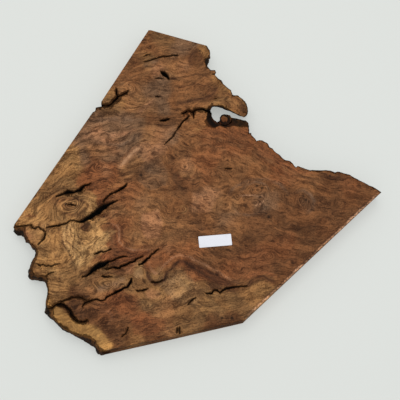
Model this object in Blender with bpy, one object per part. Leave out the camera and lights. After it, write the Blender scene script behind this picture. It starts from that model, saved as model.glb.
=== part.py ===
"""Walnut root carving block.

A flat slab sawn from the root burl of a walnut tree. It has straight sawn edges, two ragged
live edges, a hollow that opens through the upper live edge, drying cracks, a small knot hole,
and a blank paper label on its top face. Plan points are millimetres, seen from above, with
the origin under the middle of the slab.
"""
import math
import random

import bmesh
import bpy
from mathutils import Matrix, Vector

MM = 0.001

# Slab
SLAB_THICKNESS = 25.0
LEVELS = (25.0, 20.0, 12.5, 5.0, 0.0)    # heights of the rings of points down the sides
LEDGE_LEVEL = 20.0                       # the hollow is narrowest here
BELLY_LEVEL = 12.5                       # the left live edge bulges furthest here
LIVE_STEP = 3.2                          # spacing of points along a live edge
LIVE_FOOT_INSET = 2.5                    # how far the left live edge draws in at the underside
SHOULDER_SHARE = 0.6                     # how far the side has bulged at the ledge level
NORMAL_REACH = 2                         # neighbours on each side that an outward normal spans
SIDE_SEED = 4

# Roughness of each kind of side: how far its points stray in or out below the rim
SAWN_ROUGHNESS = 0.0
NOTCH_ROUGHNESS = 0.21
BARK_ROUGHNESS = 0.7
SAPWOOD_ROUGHNESS = 0.42
RIGHT_ROUGHNESS = 0.56
LIP_ROUGHNESS = 0.35
HOLLOW_ROUGHNESS = 0.28

# Flare of the bark side round the hollow: how far the underside runs out there
HOLLOW_CENTRE = Vector((27.0, 86.0))
FLARE = Vector((2.4, 10.5))
FLARE_CORE = 30.0
FLARE_REACH = 85.0

# Knob of wood that stands in the hollow
KNOB_PLACE = (32.3, 78.8, 17.0)
KNOB_SIZE = (3.9, 3.6, 6.8)
KNOB_SUBDIVISIONS = 2

# Label
LABEL_LENGTH = 38.0
LABEL_WIDTH = 13.3
LABEL_THICKNESS = 0.2
LABEL_CORNER = 0.8
LABEL_CORNER_STEPS = 3
LABEL_PLACE = (16.2, -72.1)
LABEL_TURN = math.radians(4.7)
CONTACT_GAP = 0.3

# Cracks
CUTTER_RISE = 0.6                        # how far a cutter stands above the top face
CRACK_FLOOR_SHARE = 0.35                 # width at the bottom of a crack, against its mouth
CRACK_RAGGEDNESS = 0.14
SHALLOW_END = 0.4                        # depth at a crack's tips, against its middle
FULL_DEPTH_WIDTH = 0.7                   # a crack is at full depth from this share of its widest place
CRACK_SEED = 11

# Plain colours, and how matte each surface is
WALNUT_COLOUR = (0.19, 0.10, 0.05)
WALNUT_ROUGHNESS = 0.6
PAPER_COLOUR = (0.84, 0.83, 0.86)
PAPER_ROUGHNESS = 0.75

# Plan of the top face, anticlockwise from the top corner, one list for each kind of edge.
# A rim is at the top face; a belly, ledge or foot is the same stretch lower down the side.
UPPER_LEFT_SAWN = [(-58.5, 198), (-61.5, 198), (-118, 100.5)]
LEFT_NOTCH = [(-118.3, 97.5), (-118.3, 94), (-121.5, 93.5), (-124.5, 93), (-125, 88.5), (-128, 86.5)]
LEFT_CORNER = [(-213, -52)]

TIP_RIM = [(-212.5, -55), (-206.5, -55), (-202, -55.5), (-201, -60), (-200, -64.5)]
TIP_BELLY = [(-215.5, -54.5), (-216.5, -57.5), (-215.5, -59.5), (-213.5, -61), (-211, -62),
             (-208, -62), (-205.5, -62.5), (-204, -64.5), (-203, -67)]
UPPER_LOBE_RIM = [(-199.5, -65.5), (-197, -70.5), (-193, -74.5), (-188, -79), (-186, -82.5)]
UPPER_LOBE_BELLY = [(-201, -70), (-198, -72.5), (-196, -75), (-194, -77), (-190, -80.5), (-189, -83)]
LOWER_LOBE_RIM = [(-185.5, -86.5), (-186.5, -90.5), (-188, -94.5), (-190, -98.5), (-191.5, -102.5),
                  (-191.5, -106.5), (-189, -110), (-184.5, -111.5), (-180, -111), (-175.5, -112.5),
                  (-174, -115)]
LOWER_LOBE_BELLY = [(-189.5, -85), (-191, -87.5), (-192.5, -91), (-194, -95), (-195.5, -98.5),
                    (-196.5, -102.5), (-197, -106), (-197, -109), (-196.5, -113), (-191, -114),
                    (-183.5, -115.5), (-177.5, -116.5), (-176, -117.5)]
WAIST_RIM = [(-173.5, -119), (-172.5, -123.5), (-171.5, -127.5), (-171.5, -132), (-172, -137.5),
             (-172.5, -142), (-171.5, -145)]
WAIST_BELLY = [(-175, -121.5), (-173.5, -125.5), (-174, -130), (-175, -136), (-176, -140.5),
               (-174.5, -142.5), (-175.5, -145)]
SAPWOOD_RIM = [(-168.5, -146.5), (-165.5, -149.5), (-165, -157), (-160.5, -162.5), (-157, -166.5),
               (-152.5, -170), (-147, -173), (-140.5, -176), (-135, -178), (-130.5, -177.5),
               (-124, -179), (-119.5, -182), (-117, -187), (-115, -190.5), (-111.5, -193)]
SAPWOOD_BELLY = [(-176, -147), (-177, -150), (-175, -152.5), (-172.5, -155.5), (-169.5, -157.5),
                 (-166.5, -159), (-163.5, -163), (-159.5, -167), (-155, -170.5), (-149.5, -173.5),
                 (-143.5, -176), (-139, -178.5), (-133, -181.5), (-128, -185), (-122, -189),
                 (-118.5, -192), (-118, -195), (-116, -197)]

BOTTOM_RIM = [(-110, -194), (-30, -179.2), (47, -163)]
BOTTOM_FOOT = [(-113.5, -198), (-31, -180.8), (48, -163.8)]
RIGHT_TIP = [(216.5, -13.5)]

UPPER_RIGHT_LIVE = [(214.5, -12), (208, -8), (198.5, -2.5), (191, 1.5), (184.5, 5), (180, 8),
                    (174.5, 9.5), (170.5, 11), (165.5, 12), (162, 11), (156, 13.5), (151.5, 14),
                    (141.5, 14), (132, 14), (126, 16), (122.5, 17.5), (117, 19), (115.5, 17.5),
                    (113.5, 19), (111.5, 23), (108.5, 25.5), (102.5, 27), (99, 29.5), (94.5, 34.5),
                    (90.5, 37.5), (88, 41), (84, 43.5), (82.5, 47.5), (80, 49.5), (76.5, 51.5),
                    (73, 52), (69, 50.5), (68.5, 51.5), (67, 54), (65, 56), (63, 58), (63, 61),
                    (60.5, 60.5), (60.5, 63.5), (60, 66.5)]
LIP_RIM = [(59.5, 69), (54.5, 70.5), (49.5, 70), (44.5, 70.5), (39, 71)]
LIP_LEDGE = [(60, 74), (57.5, 76.5), (54, 77), (50, 78), (47, 79.5), (43.5, 80), (40.5, 79.5), (39, 81)]
KNOB_RIM = [(36, 69), (31.5, 68.5), (26.5, 70.5)]
KNOB_LEDGE = [(38, 83.5), (35.5, 84), (32.5, 85), (29, 84.5), (26.5, 83.5), (25.5, 81), (25.5, 77)]
HOLLOW_FLOOR_RIM = [(23, 70), (19, 68), (14.5, 68.5), (10, 71.5), (7, 75.5)]
HOLLOW_FLOOR_LEDGE = [(23.5, 75), (21.5, 74.5), (18.5, 77), (16, 80)]
HOLLOW_LEFT_RIM = [(9.5, 80), (10.5, 86.5), (11, 92)]
HOLLOW_LEFT_LEDGE = [(15, 83), (14.5, 86.5), (13, 89), (14.5, 92.5)]
HOLLOW_TOP_RIM = [(13, 95), (17.5, 96.5), (23.5, 96.5), (28.5, 96), (32, 93.5), (36, 91), (40.5, 89),
                  (45, 85.5), (50, 83.7), (53, 82.2)]
HOLLOW_TOP_LEDGE = [(16, 95), (19, 95.5), (22.5, 95), (26, 94.5), (30.5, 92.5), (33.5, 91), (38, 89.5),
                    (41, 88), (44.5, 86), (47.5, 84.5), (50.5, 83), (53, 82.5)]
PRONG_AND_TOP_LIVE = [(55, 81.5), (57.5, 83), (59.5, 86), (60, 89.5), (59.5, 94), (59, 97.5),
                      (58.5, 99.5), (56, 102), (53.5, 104.5), (50.5, 107.5), (48.5, 110), (42, 110),
                      (41, 111.5), (40, 114.5), (39.5, 117.5), (37.5, 118.5), (34.5, 121.5),
                      (31.5, 124), (30, 126.5), (28, 130.5), (25, 132), (22.5, 135), (20.5, 138),
                      (18, 138.5), (21, 139), (21.5, 141), (21, 144), (15.5, 144), (13.5, 146.5),
                      (12, 148.5), (10.5, 151), (9, 153.5), (8, 155.5), (8.5, 157.5), (11, 160),
                      (13, 162.5), (15, 165), (15.5, 167.5), (15, 170.5), (13.5, 173.5), (12, 175.5),
                      (11, 177.5)]

# Cracks: the course of each as (x, y, width), with its depth and how far it leans on the way down
LEAN_TO_FRONT = Vector((2.5, -5.0))
LEAN_A_LITTLE = Vector((1.0, -2.0))
STRAIGHT_DOWN = Vector((0.0, 0.0))
CRACKS = [
    ("left_edge_crack", 34.0, LEAN_TO_FRONT,
     [(-120.5, 95.5, 3.3), (-113.5, 96, 2.9), (-110, 96, 4.2), (-107, 97.5, 3.7), (-104.5, 100.5, 3.5),
      (-102, 103.5, 4), (-100, 106, 4.2), (-97.5, 108.5, 2.3)]),
    ("left_edge_crack_right_arm", 9.0, STRAIGHT_DOWN,
     [(-99.5, 106.5, 1.9), (-94.5, 109.5, 2.6), (-91.5, 111, 2.8), (-88.5, 112.5, 2.3),
      (-85.5, 115.5, 0.9)]),
    ("left_edge_crack_upper_arm", 8.0, STRAIGHT_DOWN,
     [(-99.5, 106.5, 2.1), (-99.5, 109.5, 2.3), (-100, 112.5, 2.3), (-100, 116, 2.1),
      (-100.5, 119, 0.7)]),
    ("hollow_crack", 32.0, Vector((1.0, -4.0)),
     [(14.5, 90.5, 3.5), (10.5, 89.5, 3.5), (7.5, 90, 2.1), (4.5, 92, 3), (1.5, 92, 2.8),
      (-2.5, 91.5, 3), (-5, 90.5, 3), (-7, 88.3, 4), (-9.5, 88.5, 2.8), (-12, 90, 2.3),
      (-14.5, 89.5, 2.3), (-16.5, 87.5, 2.8), (-19, 86.5, 2.8), (-21, 86, 0.9)]),
    ("hollow_crack_spur", 6.0, STRAIGHT_DOWN,
     [(-7, 88, 2.8), (-6.5, 84, 2.1), (-6.5, 80, 0.9)]),
    ("slanting_crack", 6.0, STRAIGHT_DOWN,
     [(-12, 83, 0.9), (-15, 79, 1.4), (-18.5, 76.5, 1.9), (-20.5, 74, 1.6), (-23, 70, 1.6),
      (-25, 67, 0.9)]),
    ("short_crack", 7.0, STRAIGHT_DOWN,
     [(-47, 76, 0.9), (-45, 76.5, 2.1), (-41, 77, 2.6), (-37.5, 78.5, 1.9), (-36, 79, 0.7)]),
    ("upper_crack", 4.0, STRAIGHT_DOWN,
     [(-67, 154, 0.8), (-58.5, 156.5, 1.3), (-48.5, 160.5, 1.4), (-43.5, 162, 1.4), (-35, 162.5, 1.4),
      (-31, 163.5, 1.3), (-25, 163.5, 0.7)]),
    ("knot_hole", 21.0, LEAN_A_LITTLE,
     [(-46.5, 141.5, 1.9), (-43, 139, 4.6), (-40, 136.5, 5.1), (-37.5, 133.5, 3), (-36.5, 131, 0.9)]),
    ("upper_left_crack", 36.0, LEAN_TO_FRONT,
     [(-167.5, -19, 0.9), (-163, -17, 1.4), (-159.5, -15.5, 1.8), (-156.5, -14, 3.3), (-154, -13, 4.7),
      (-150.5, -13.5, 4), (-147, -13.5, 2.6), (-143.5, -12, 3.5), (-140, -11, 4.7), (-138, -8, 3.5),
      (-135, -5.5, 2.1), (-131, -4.5, 1.8), (-127.5, -2.5, 0.9)]),
    ("middle_left_crack", 15.0, LEAN_A_LITTLE,
     [(-86, -3, 0.7), (-88, -6, 1.8), (-91.5, -9, 2.6), (-95, -11, 2.1), (-98.5, -13, 2.1),
      (-102, -14.5, 1.8), (-104.5, -15.5, 1.9), (-107.5, -18.5, 1.5), (-110, -21, 1.4),
      (-112, -23, 1.6), (-113, -25.5, 0.7)]),
    ("widest_crack", 38.0, LEAN_TO_FRONT,
     [(-96.5, -23.5, 0.8), (-101.5, -25.5, 2.1), (-106, -28, 3.3), (-111, -30.5, 5.8), (-115.5, -34, 6.6),
      (-118.5, -37, 6.6), (-123, -40, 5.1), (-127.5, -43, 4.7), (-132, -45.5, 4), (-135.5, -48, 3.5),
      (-139, -49, 2.8), (-143, -48.5, 1.2)]),
    ("widest_crack_tail", 4.0, STRAIGHT_DOWN,
     [(-141, -48.5, 1.2), (-145.5, -47.5, 1.2), (-149.5, -47, 1.2), (-152.5, -49.5, 1.3),
      (-154.5, -51, 1.2), (-160.5, -52.5, 1.4), (-163.5, -53.5, 1.2), (-170.5, -54.5, 1.2),
      (-177, -56, 0.7)]),
    ("tip_crack", 8.0, STRAIGHT_DOWN,
     [(-216.5, -55.3, 1.9), (-207.5, -54.3, 1.6), (-200, -53.5, 1.4), (-194, -52.5, 1.2),
      (-192.5, -56, 1.2), (-189.5, -57, 1.2), (-185.5, -55, 1.2), (-182.5, -58, 1.2),
      (-177.5, -60.5, 0.7)]),
    ("lobe_crack", 5.0, STRAIGHT_DOWN,
     [(-178, -62, 0.9), (-178, -65.5, 1.4), (-179.5, -70, 1.4), (-182, -72, 1.4), (-185, -75.5, 0.7)]),
    ("lower_left_crack", 37.0, LEAN_TO_FRONT,
     [(-134.5, -112.5, 0.8), (-130, -112, 1.9), (-126, -108.5, 2.6), (-123.5, -105.5, 3.7),
      (-119.5, -102, 6.6), (-115, -99.5, 7), (-111.5, -98.5, 5.8), (-108, -96.5, 4), (-105, -95, 1.8)]),
    ("lower_left_crack_tail", 5.0, STRAIGHT_DOWN,
     [(-107, -96, 1.8), (-101.5, -95, 1.5), (-97, -92.5, 1.6), (-92.5, -91, 1.9), (-89, -90, 1.9),
      (-84.5, -89.5, 0.7)]),
    ("upper_split", 5.0, STRAIGHT_DOWN,
     [(-121.5, -87, 0.7), (-119, -86, 1.9), (-116.5, -85, 1.9), (-114, -83.5, 1.8), (-111.5, -84.5, 1.9),
      (-107.5, -83.5, 1.4), (-103, -81, 0.7)]),
    ("ragged_split", 7.0, STRAIGHT_DOWN,
     [(-109.5, -103.5, 0.7), (-106, -104.5, 1.1), (-102.5, -103, 1.4), (-99, -102, 2.1),
      (-95.5, -103, 2.1),
      (-93, -103, 2.1), (-91.5, -101, 1.5), (-88, -100, 1.9), (-84.5, -99, 2.8), (-81, -96.5, 1.9),
      (-78.5, -96.5, 2.3), (-76, -95, 2.1), (-74.5, -93, 1.9), (-71, -91.5, 1.4), (-66.5, -89.5, 0.7)]),
    ("middle_split", 8.0, STRAIGHT_DOWN,
     [(-71.5, -99.5, 0.7), (-67.5, -98, 1.9), (-64, -95, 2.3), (-62, -92.5, 2.6), (-59.5, -91.5, 2.1),
      (-57, -88, 1.9), (-54, -86, 1.4), (-52, -83.5, 1.1), (-49, -81.5, 0.6)]),
    ("lower_split", 4.0, STRAIGHT_DOWN,
     [(-112.5, -112, 0.7), (-109, -113, 1.9), (-104.5, -113, 1.2), (-101, -113, 0.6)]),
    ("long_lower_crack", 9.0, STRAIGHT_DOWN,
     [(-133.5, -146.5, 0.8), (-130.5, -142, 1.6), (-126, -140, 1.4), (-120.5, -138.5, 1.2),
      (-117.5, -138, 1.2), (-113, -139.5, 1.2), (-109, -139, 1.3), (-106.5, -135.5, 1.9),
      (-103, -134, 1.8), (-99, -132, 1.8), (-95.5, -130, 2.1), (-91, -128, 2.3), (-87.5, -125.5, 2.3),
      (-83.5, -124.5, 2.6), (-81, -120.5, 2.6), (-79.5, -117.5, 2.1), (-79.5, -114.5, 0.8)]),
    ("long_lower_crack_arm", 4.0, STRAIGHT_DOWN,
     [(-158, -141, 1.4), (-151.5, -138.5, 1.4), (-145, -136, 1.4), (-138.5, -135.5, 1.4),
      (-134, -136.5, 1.2), (-128.5, -140, 0.8)]),
    ("bark_seam", 10.0, STRAIGHT_DOWN,
     [(-176, -147.3, 2.3), (-166.5, -147.5, 2.6), (-163.5, -144, 2.9), (-157.5, -143, 6),
      (-153.5, -144.5, 4),
      (-150.5, -147, 2.8), (-147, -150, 3), (-145, -155, 3.3), (-141, -160, 3.5), (-136.5, -163, 3),
      (-131, -163, 2.3), (-127.5, -161.5, 0.9)]),
    ("small_split", 4.0, STRAIGHT_DOWN,
     [(-74.5, -128, 0.7), (-72, -129, 1.8), (-67.5, -129, 2.1), (-63.5, -127.5, 1.9),
      (-60.5, -126.5, 0.7)]),
    ("lower_right_split", 4.0, STRAIGHT_DOWN,
     [(4.5, -132.5, 0.9), (11, -132.5, 1.9), (13.5, -129, 1.6), (17, -129, 1.6), (20, -132, 1.8),
      (24, -129, 1.6), (27.5, -127.5, 1.4), (34, -126, 1.4), (43.5, -125, 1.1), (51.5, -124.5, 0.7)]),
    ("knob_groove", 7.5, STRAIGHT_DOWN,
     [(23, 79, 2), (24.5, 75, 2.3), (27.5, 71.7, 2.3), (32.5, 71, 2.3), (37, 73, 2.3), (39.5, 76.5, 2.1),
      (40, 80, 1.6)]),
]


def clear_scene():
    for thing in list(bpy.data.objects):
        bpy.data.objects.remove(thing, do_unlink=True)


def plain_material(name, colour, roughness):
    material = bpy.data.materials.new(name)
    material.use_nodes = True
    shader = material.node_tree.nodes["Principled BSDF"]
    shader.inputs["Base Color"].default_value = (*colour, 1.0)
    shader.inputs["Roughness"].default_value = roughness
    shader.inputs["Metallic"].default_value = 0.0
    return material


def add_object(name, mesh, material=None):
    thing = bpy.data.objects.new(name, mesh)
    bpy.context.scene.collection.objects.link(thing)
    if material:
        mesh.materials.append(material)
    return thing


def add_cutter(name, mesh):
    cutter = add_object(name, mesh)
    cutter.hide_render = True
    cutter.display_type = 'WIRE'
    return cutter


def boolean(thing, name, other, operation):
    modifier = thing.modifiers.new(name, 'BOOLEAN')
    modifier.operation = operation
    modifier.solver = 'EXACT'
    modifier.object = other


def course_length(points):
    return sum((b - a).length for a, b in zip(points, points[1:]))


def evenly_spaced(points, count):
    """Return count points at equal distances along a course."""
    points = [Vector(point) for point in points]
    spacing = course_length(points) / (count - 1)
    spaced = [points[0]]
    left_over = 0.0
    for start, end in zip(points, points[1:]):
        reach = (end - start).length
        along = spacing - left_over
        while along <= reach and len(spaced) < count - 1:
            spaced.append(start.lerp(end, along / reach))
            along += spacing
        left_over = reach - (along - spacing)
    spaced.append(points[-1])
    return spaced


def outward_normals(points):
    """Return the outward normal at each point of an anticlockwise ring, smoothed over neighbours."""
    count = len(points)
    normals = []
    for index in range(count):
        run = points[(index + NORMAL_REACH) % count] - points[(index - NORMAL_REACH) % count]
        normals.append(Vector((run.y, -run.x)).normalized())
    return normals


def straight(rim, foot=None):
    """Columns of a side that runs straight down from the rim, or straight out to its foot."""
    foot = foot or rim
    columns = []
    for top, bottom in zip(rim, foot):
        top, bottom = Vector(top), Vector(bottom)
        shares = [1.0 - level / SLAB_THICKNESS for level in LEVELS]
        columns.append([top.lerp(bottom, share) for share in shares])
    return columns, [0.0] * len(columns)


def bulging(rim, bulge, bulge_level, foot_inset=0.0):
    """Columns of a side that bulges from the rim out to another course lower down."""
    longest = max(course_length([Vector(p) for p in rim]), course_length([Vector(p) for p in bulge]))
    count = max(3, round(longest / LIVE_STEP))
    columns = []
    for top, out in zip(evenly_spaced(rim, count), evenly_spaced(bulge, count)):
        column = []
        for level in LEVELS:
            if level <= bulge_level:
                share = 1.0
            elif level < SLAB_THICKNESS:
                share = SHOULDER_SHARE
            else:
                share = 0.0
            column.append(top.lerp(out, share))
        columns.append(column)
    return columns, [foot_inset] * len(columns)


def flare_at(point):
    """How much of the flare round the hollow a plan point takes, from 0 to 1."""
    distance = (point - HOLLOW_CENTRE).length
    share = 1.0 - (distance - FLARE_CORE) / (FLARE_REACH - FLARE_CORE)
    share = min(1.0, max(0.0, share))
    return share * share * (3.0 - 2.0 * share)


def side_columns():
    """All the columns of points round the slab, with how rough and how drawn-in each one is."""
    stretches = [
        (straight(UPPER_LEFT_SAWN), SAWN_ROUGHNESS),
        (straight(LEFT_NOTCH), NOTCH_ROUGHNESS),
        (straight(LEFT_CORNER), SAWN_ROUGHNESS),
        (bulging(TIP_RIM, TIP_BELLY, BELLY_LEVEL, LIVE_FOOT_INSET), BARK_ROUGHNESS),
        (bulging(UPPER_LOBE_RIM, UPPER_LOBE_BELLY, BELLY_LEVEL, LIVE_FOOT_INSET), BARK_ROUGHNESS),
        (bulging(LOWER_LOBE_RIM, LOWER_LOBE_BELLY, BELLY_LEVEL, LIVE_FOOT_INSET), BARK_ROUGHNESS),
        (bulging(WAIST_RIM, WAIST_BELLY, BELLY_LEVEL, LIVE_FOOT_INSET), BARK_ROUGHNESS),
        (bulging(SAPWOOD_RIM, SAPWOOD_BELLY, BELLY_LEVEL, LIVE_FOOT_INSET), SAPWOOD_ROUGHNESS),
        (straight(BOTTOM_RIM, BOTTOM_FOOT), SAWN_ROUGHNESS),
        (straight(RIGHT_TIP), SAWN_ROUGHNESS),
        (straight(UPPER_RIGHT_LIVE), RIGHT_ROUGHNESS),
        (bulging(LIP_RIM, LIP_LEDGE, LEDGE_LEVEL), LIP_ROUGHNESS),
        (bulging(KNOB_RIM, KNOB_LEDGE, LEDGE_LEVEL), HOLLOW_ROUGHNESS),
        (bulging(HOLLOW_FLOOR_RIM, HOLLOW_FLOOR_LEDGE, LEDGE_LEVEL), HOLLOW_ROUGHNESS),
        (bulging(HOLLOW_LEFT_RIM, HOLLOW_LEFT_LEDGE, LEDGE_LEVEL), HOLLOW_ROUGHNESS),
        (bulging(HOLLOW_TOP_RIM, HOLLOW_TOP_LEDGE, LEDGE_LEVEL), HOLLOW_ROUGHNESS),
        (straight(PRONG_AND_TOP_LIVE), RIGHT_ROUGHNESS),
    ]
    columns = []
    insets = []
    roughness = []
    for (stretch_columns, stretch_insets), rough in stretches:
        columns.extend(stretch_columns)
        insets.extend(stretch_insets)
        roughness.extend([rough] * len(stretch_columns))
    return columns, insets, roughness


def side_rings():
    """Rings of points round the slab, one for each level, from the top face to the underside."""
    columns, insets, roughness = side_columns()
    noise = random.Random(SIDE_SEED)
    rings = []
    for number, level in enumerate(LEVELS):
        ring = [column[number] for column in columns]
        normals = outward_normals(ring)
        depth_share = 1.0 - level / SLAB_THICKNESS
        moved = []
        for point, normal, inset, rough in zip(ring, normals, insets, roughness):
            shift = FLARE * (depth_share * flare_at(point))
            if level < BELLY_LEVEL:
                shift -= normal * (inset * (1.0 - level / BELLY_LEVEL))
            if level < SLAB_THICKNESS:
                shift += normal * noise.uniform(-rough, rough)
            moved.append((point + shift).to_3d() + Vector((0, 0, level)))
        rings.append(moved)
    return rings


def slab_mesh():
    mesh = bmesh.new()
    rings = [[mesh.verts.new(point * MM) for point in ring] for ring in side_rings()]
    count = len(rings[0])
    for upper, lower in zip(rings, rings[1:]):
        for index in range(count):
            following = (index + 1) % count
            mesh.faces.new((upper[index], lower[index], lower[following]))
            mesh.faces.new((upper[index], lower[following], upper[following]))
    mesh.faces.new(rings[0])
    mesh.faces.new(list(reversed(rings[-1])))
    data = bpy.data.meshes.new("walnut_block")
    mesh.to_mesh(data)
    mesh.free()
    return data


def knob_mesh():
    mesh = bmesh.new()
    stretch = Matrix.Diagonal(Vector(KNOB_SIZE)).to_4x4()
    bmesh.ops.create_icosphere(mesh, subdivisions=KNOB_SUBDIVISIONS, radius=1.0, matrix=stretch)
    bmesh.ops.translate(mesh, vec=Vector(KNOB_PLACE), verts=mesh.verts)
    bmesh.ops.scale(mesh, vec=Vector((MM, MM, MM)), verts=mesh.verts)
    data = bpy.data.meshes.new("knob")
    mesh.to_mesh(data)
    mesh.free()
    return data


def crack_mesh(name, depth, lean, course, noise):
    """A closed ragged wedge along a crack's course, from above the top face down to its bottom."""
    mesh = bmesh.new()
    widest = max(width for _, _, width in course)
    places = [Vector((x, y)) for x, y, _ in course]
    mouth = ([], [])
    floor = ([], [])
    for index, (_, _, width) in enumerate(course):
        run = places[min(index + 1, len(places) - 1)] - places[max(index - 1, 0)]
        across = Vector((-run.y, run.x)).normalized()
        share = max(SHALLOW_END, min(1.0, width / (FULL_DEPTH_WIDTH * widest)))
        bottom = SLAB_THICKNESS - depth * share
        for side, sign in enumerate((1.0, -1.0)):
            reach = 0.5 * width * noise.uniform(1.0 - CRACK_RAGGEDNESS, 1.0 + CRACK_RAGGEDNESS)
            top_point = places[index] + across * (sign * reach)
            low_point = places[index] + across * (sign * reach * CRACK_FLOOR_SHARE) + lean * share
            top_place = Vector((*top_point, SLAB_THICKNESS + CUTTER_RISE))
            low_place = Vector((*low_point, bottom))
            mouth[side].append(mesh.verts.new(top_place * MM))
            floor[side].append(mesh.verts.new(low_place * MM))
    strips = [(mouth[0], mouth[1]), (floor[1], floor[0]), (mouth[1], floor[1]), (floor[0], mouth[0])]
    for first, second in strips:
        for index in range(len(course) - 1):
            mesh.faces.new((first[index], second[index], second[index + 1]))
            mesh.faces.new((first[index], second[index + 1], first[index + 1]))
    for end in (0, -1):
        corners = (mouth[0][end], mouth[1][end], floor[1][end], floor[0][end])
        mesh.faces.new(corners[:3])
        mesh.faces.new((corners[0], corners[2], corners[3]))
    bmesh.ops.recalc_face_normals(mesh, faces=mesh.faces)
    data = bpy.data.meshes.new(name)
    mesh.to_mesh(data)
    mesh.free()
    return data


def build_slab():
    walnut = plain_material("walnut", WALNUT_COLOUR, WALNUT_ROUGHNESS)
    slab = add_object("walnut_block", slab_mesh(), walnut)
    knob = add_cutter("knob_shape", knob_mesh())
    boolean(slab, "knob", knob, 'UNION')
    noise = random.Random(CRACK_SEED)
    for name, depth, lean, course in CRACKS:
        cutter = add_cutter(name, crack_mesh(name, depth, lean, course, noise))
        boolean(slab, name, cutter, 'DIFFERENCE')
    return slab


def build_label():
    """A thin rounded rectangle of paper, just clear of the top face."""
    paper = plain_material("paper", PAPER_COLOUR, PAPER_ROUGHNESS)
    outline = []
    half_length = LABEL_LENGTH / 2 - LABEL_CORNER
    half_width = LABEL_WIDTH / 2 - LABEL_CORNER
    for quarter, (side_x, side_y) in enumerate(((1, 1), (-1, 1), (-1, -1), (1, -1))):
        centre = Vector((side_x * half_length, side_y * half_width))
        for step in range(LABEL_CORNER_STEPS + 1):
            angle = math.radians(90 * (quarter + step / LABEL_CORNER_STEPS))
            outline.append(centre + LABEL_CORNER * Vector((math.cos(angle), math.sin(angle))))
    mesh = bmesh.new()
    face = mesh.faces.new([mesh.verts.new(point.to_3d() * MM) for point in outline])
    top = bmesh.ops.extrude_face_region(mesh, geom=[face])
    top_verts = [item for item in top["geom"] if isinstance(item, bmesh.types.BMVert)]
    bmesh.ops.translate(mesh, vec=Vector((0, 0, LABEL_THICKNESS * MM)), verts=top_verts)
    bmesh.ops.recalc_face_normals(mesh, faces=mesh.faces)
    data = bpy.data.meshes.new("paper_label")
    mesh.to_mesh(data)
    mesh.free()
    label = add_object("paper_label", data, paper)
    height = SLAB_THICKNESS + CONTACT_GAP
    label.location = Vector((*LABEL_PLACE, height)) * MM
    label.rotation_euler.z = LABEL_TURN
    return label


def main():
    clear_scene()
    build_slab()
    build_label()


main()
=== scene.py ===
import math

import bmesh
import bpy
import numpy as np
from bpy.props import FloatProperty, FloatVectorProperty, IntProperty, PointerProperty
from bpy.types import Operator, Panel, PropertyGroup
from mathutils import Matrix, Vector, kdtree
from mathutils.bvhtree import BVHTree
from mathutils.geometry import delaunay_2d_cdt


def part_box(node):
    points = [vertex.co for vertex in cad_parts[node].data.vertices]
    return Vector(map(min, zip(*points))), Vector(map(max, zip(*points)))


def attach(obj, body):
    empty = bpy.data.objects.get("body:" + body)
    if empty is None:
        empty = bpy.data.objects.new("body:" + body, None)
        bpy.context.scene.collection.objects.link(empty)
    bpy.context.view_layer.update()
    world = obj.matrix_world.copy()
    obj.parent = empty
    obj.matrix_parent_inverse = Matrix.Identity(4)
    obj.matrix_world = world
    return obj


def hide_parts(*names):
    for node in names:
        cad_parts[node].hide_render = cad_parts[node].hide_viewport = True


bl_info = {
    "name": "Walnut Burl Slab",
    "version": (1, 0, 0),
    "blender": (4, 5, 0),
    "location": "View3D > Sidebar > Walnut",
    "description": "Dresses a slab of walnut root burl: figured faces, bark edges, cracks and a blank label",
    "category": "Object",
}

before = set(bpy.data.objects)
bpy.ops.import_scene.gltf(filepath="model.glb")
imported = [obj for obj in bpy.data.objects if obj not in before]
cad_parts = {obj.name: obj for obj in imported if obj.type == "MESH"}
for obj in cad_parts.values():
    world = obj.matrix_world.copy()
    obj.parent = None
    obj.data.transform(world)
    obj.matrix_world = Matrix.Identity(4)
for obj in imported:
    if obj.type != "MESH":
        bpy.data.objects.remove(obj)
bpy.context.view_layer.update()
_, SLAB_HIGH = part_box("walnut_block")
LABEL_LOW, LABEL_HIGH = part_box("paper_label")
TOP = SLAB_HIGH[2]
MM = 0.001
LEVEL_TOLERANCE = 0.00002
PICTURE_SIDE = 400       # the picture whose pixels the places below are given in is this wide and high

# Numbers of the slab's materials
FACE_SLOT = 0
BARK_SLOT = 1
CRACK_SLOT = 2

# Straight sawn sides, each by its two ends on the plan in millimetres
SAWN_SIDES = [
    ((-61.5, 198), (-118, 100.5)),
    ((-128, 86.5), (-213, -52)),
    ((-110, -194), (-30, -179.2)),
    ((-30, -179.2), (47, -163)),
    ((47, -163), (216.5, -13.5)),
    ((11, 177.5), (-58.5, 198)),
    ((-58.5, 198), (-61.5, 198)),
]
SAWN_LEAN = 4.5      # a sawn side may lean out this far
SAWN_INSET = 0.4     # and in this far
SAWN_OVERRUN = 0.6   # and run on this far past its ends

# The sides' roughness: size of its lumps and shards in millimetres, and their shares of the whole
LUMP_CELL = 5.0
SHARD_CELL = 2.2
LUMP_SHARE = 0.55
SHARD_SHARE = 0.45
LUMP_SLANT = (0.7, -0.5)     # how they lean on plan for each millimetre of height
SHARD_SLANT = (-0.9, 0.8)
RIM_SHARE = 0.6          # how much of the bark's roughness reaches the top rim
ROOM_SHARE = 0.3         # share of the room up to the next wall that a point may move
WALL_REACH = 0.004       # walls further off than this are no hindrance, in metres
RAY_START = 0.00002      # a ray starts this far off its own wall, in metres
LEVEL_WALL = 0.1         # a point whose direction lies less than this on plan is on no wall
CRACK_INSET = 2.0        # a crack's walls lie further than this inside the outline, in millimetres
NEIGHBOUR_REACH = 6      # rim edges that may cross start no further apart than this, in millimetres
MENDING_ROUNDS = 8       # rounds in which rim points that cross others are put back

# Points laid over the flat faces, as shares of their spacing
POINT_STRAY = 0.22
RIM_CLEARANCE = 0.62
RIM_PARTS = 12           # parts of a rim edge that the clearance is measured to

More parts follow.
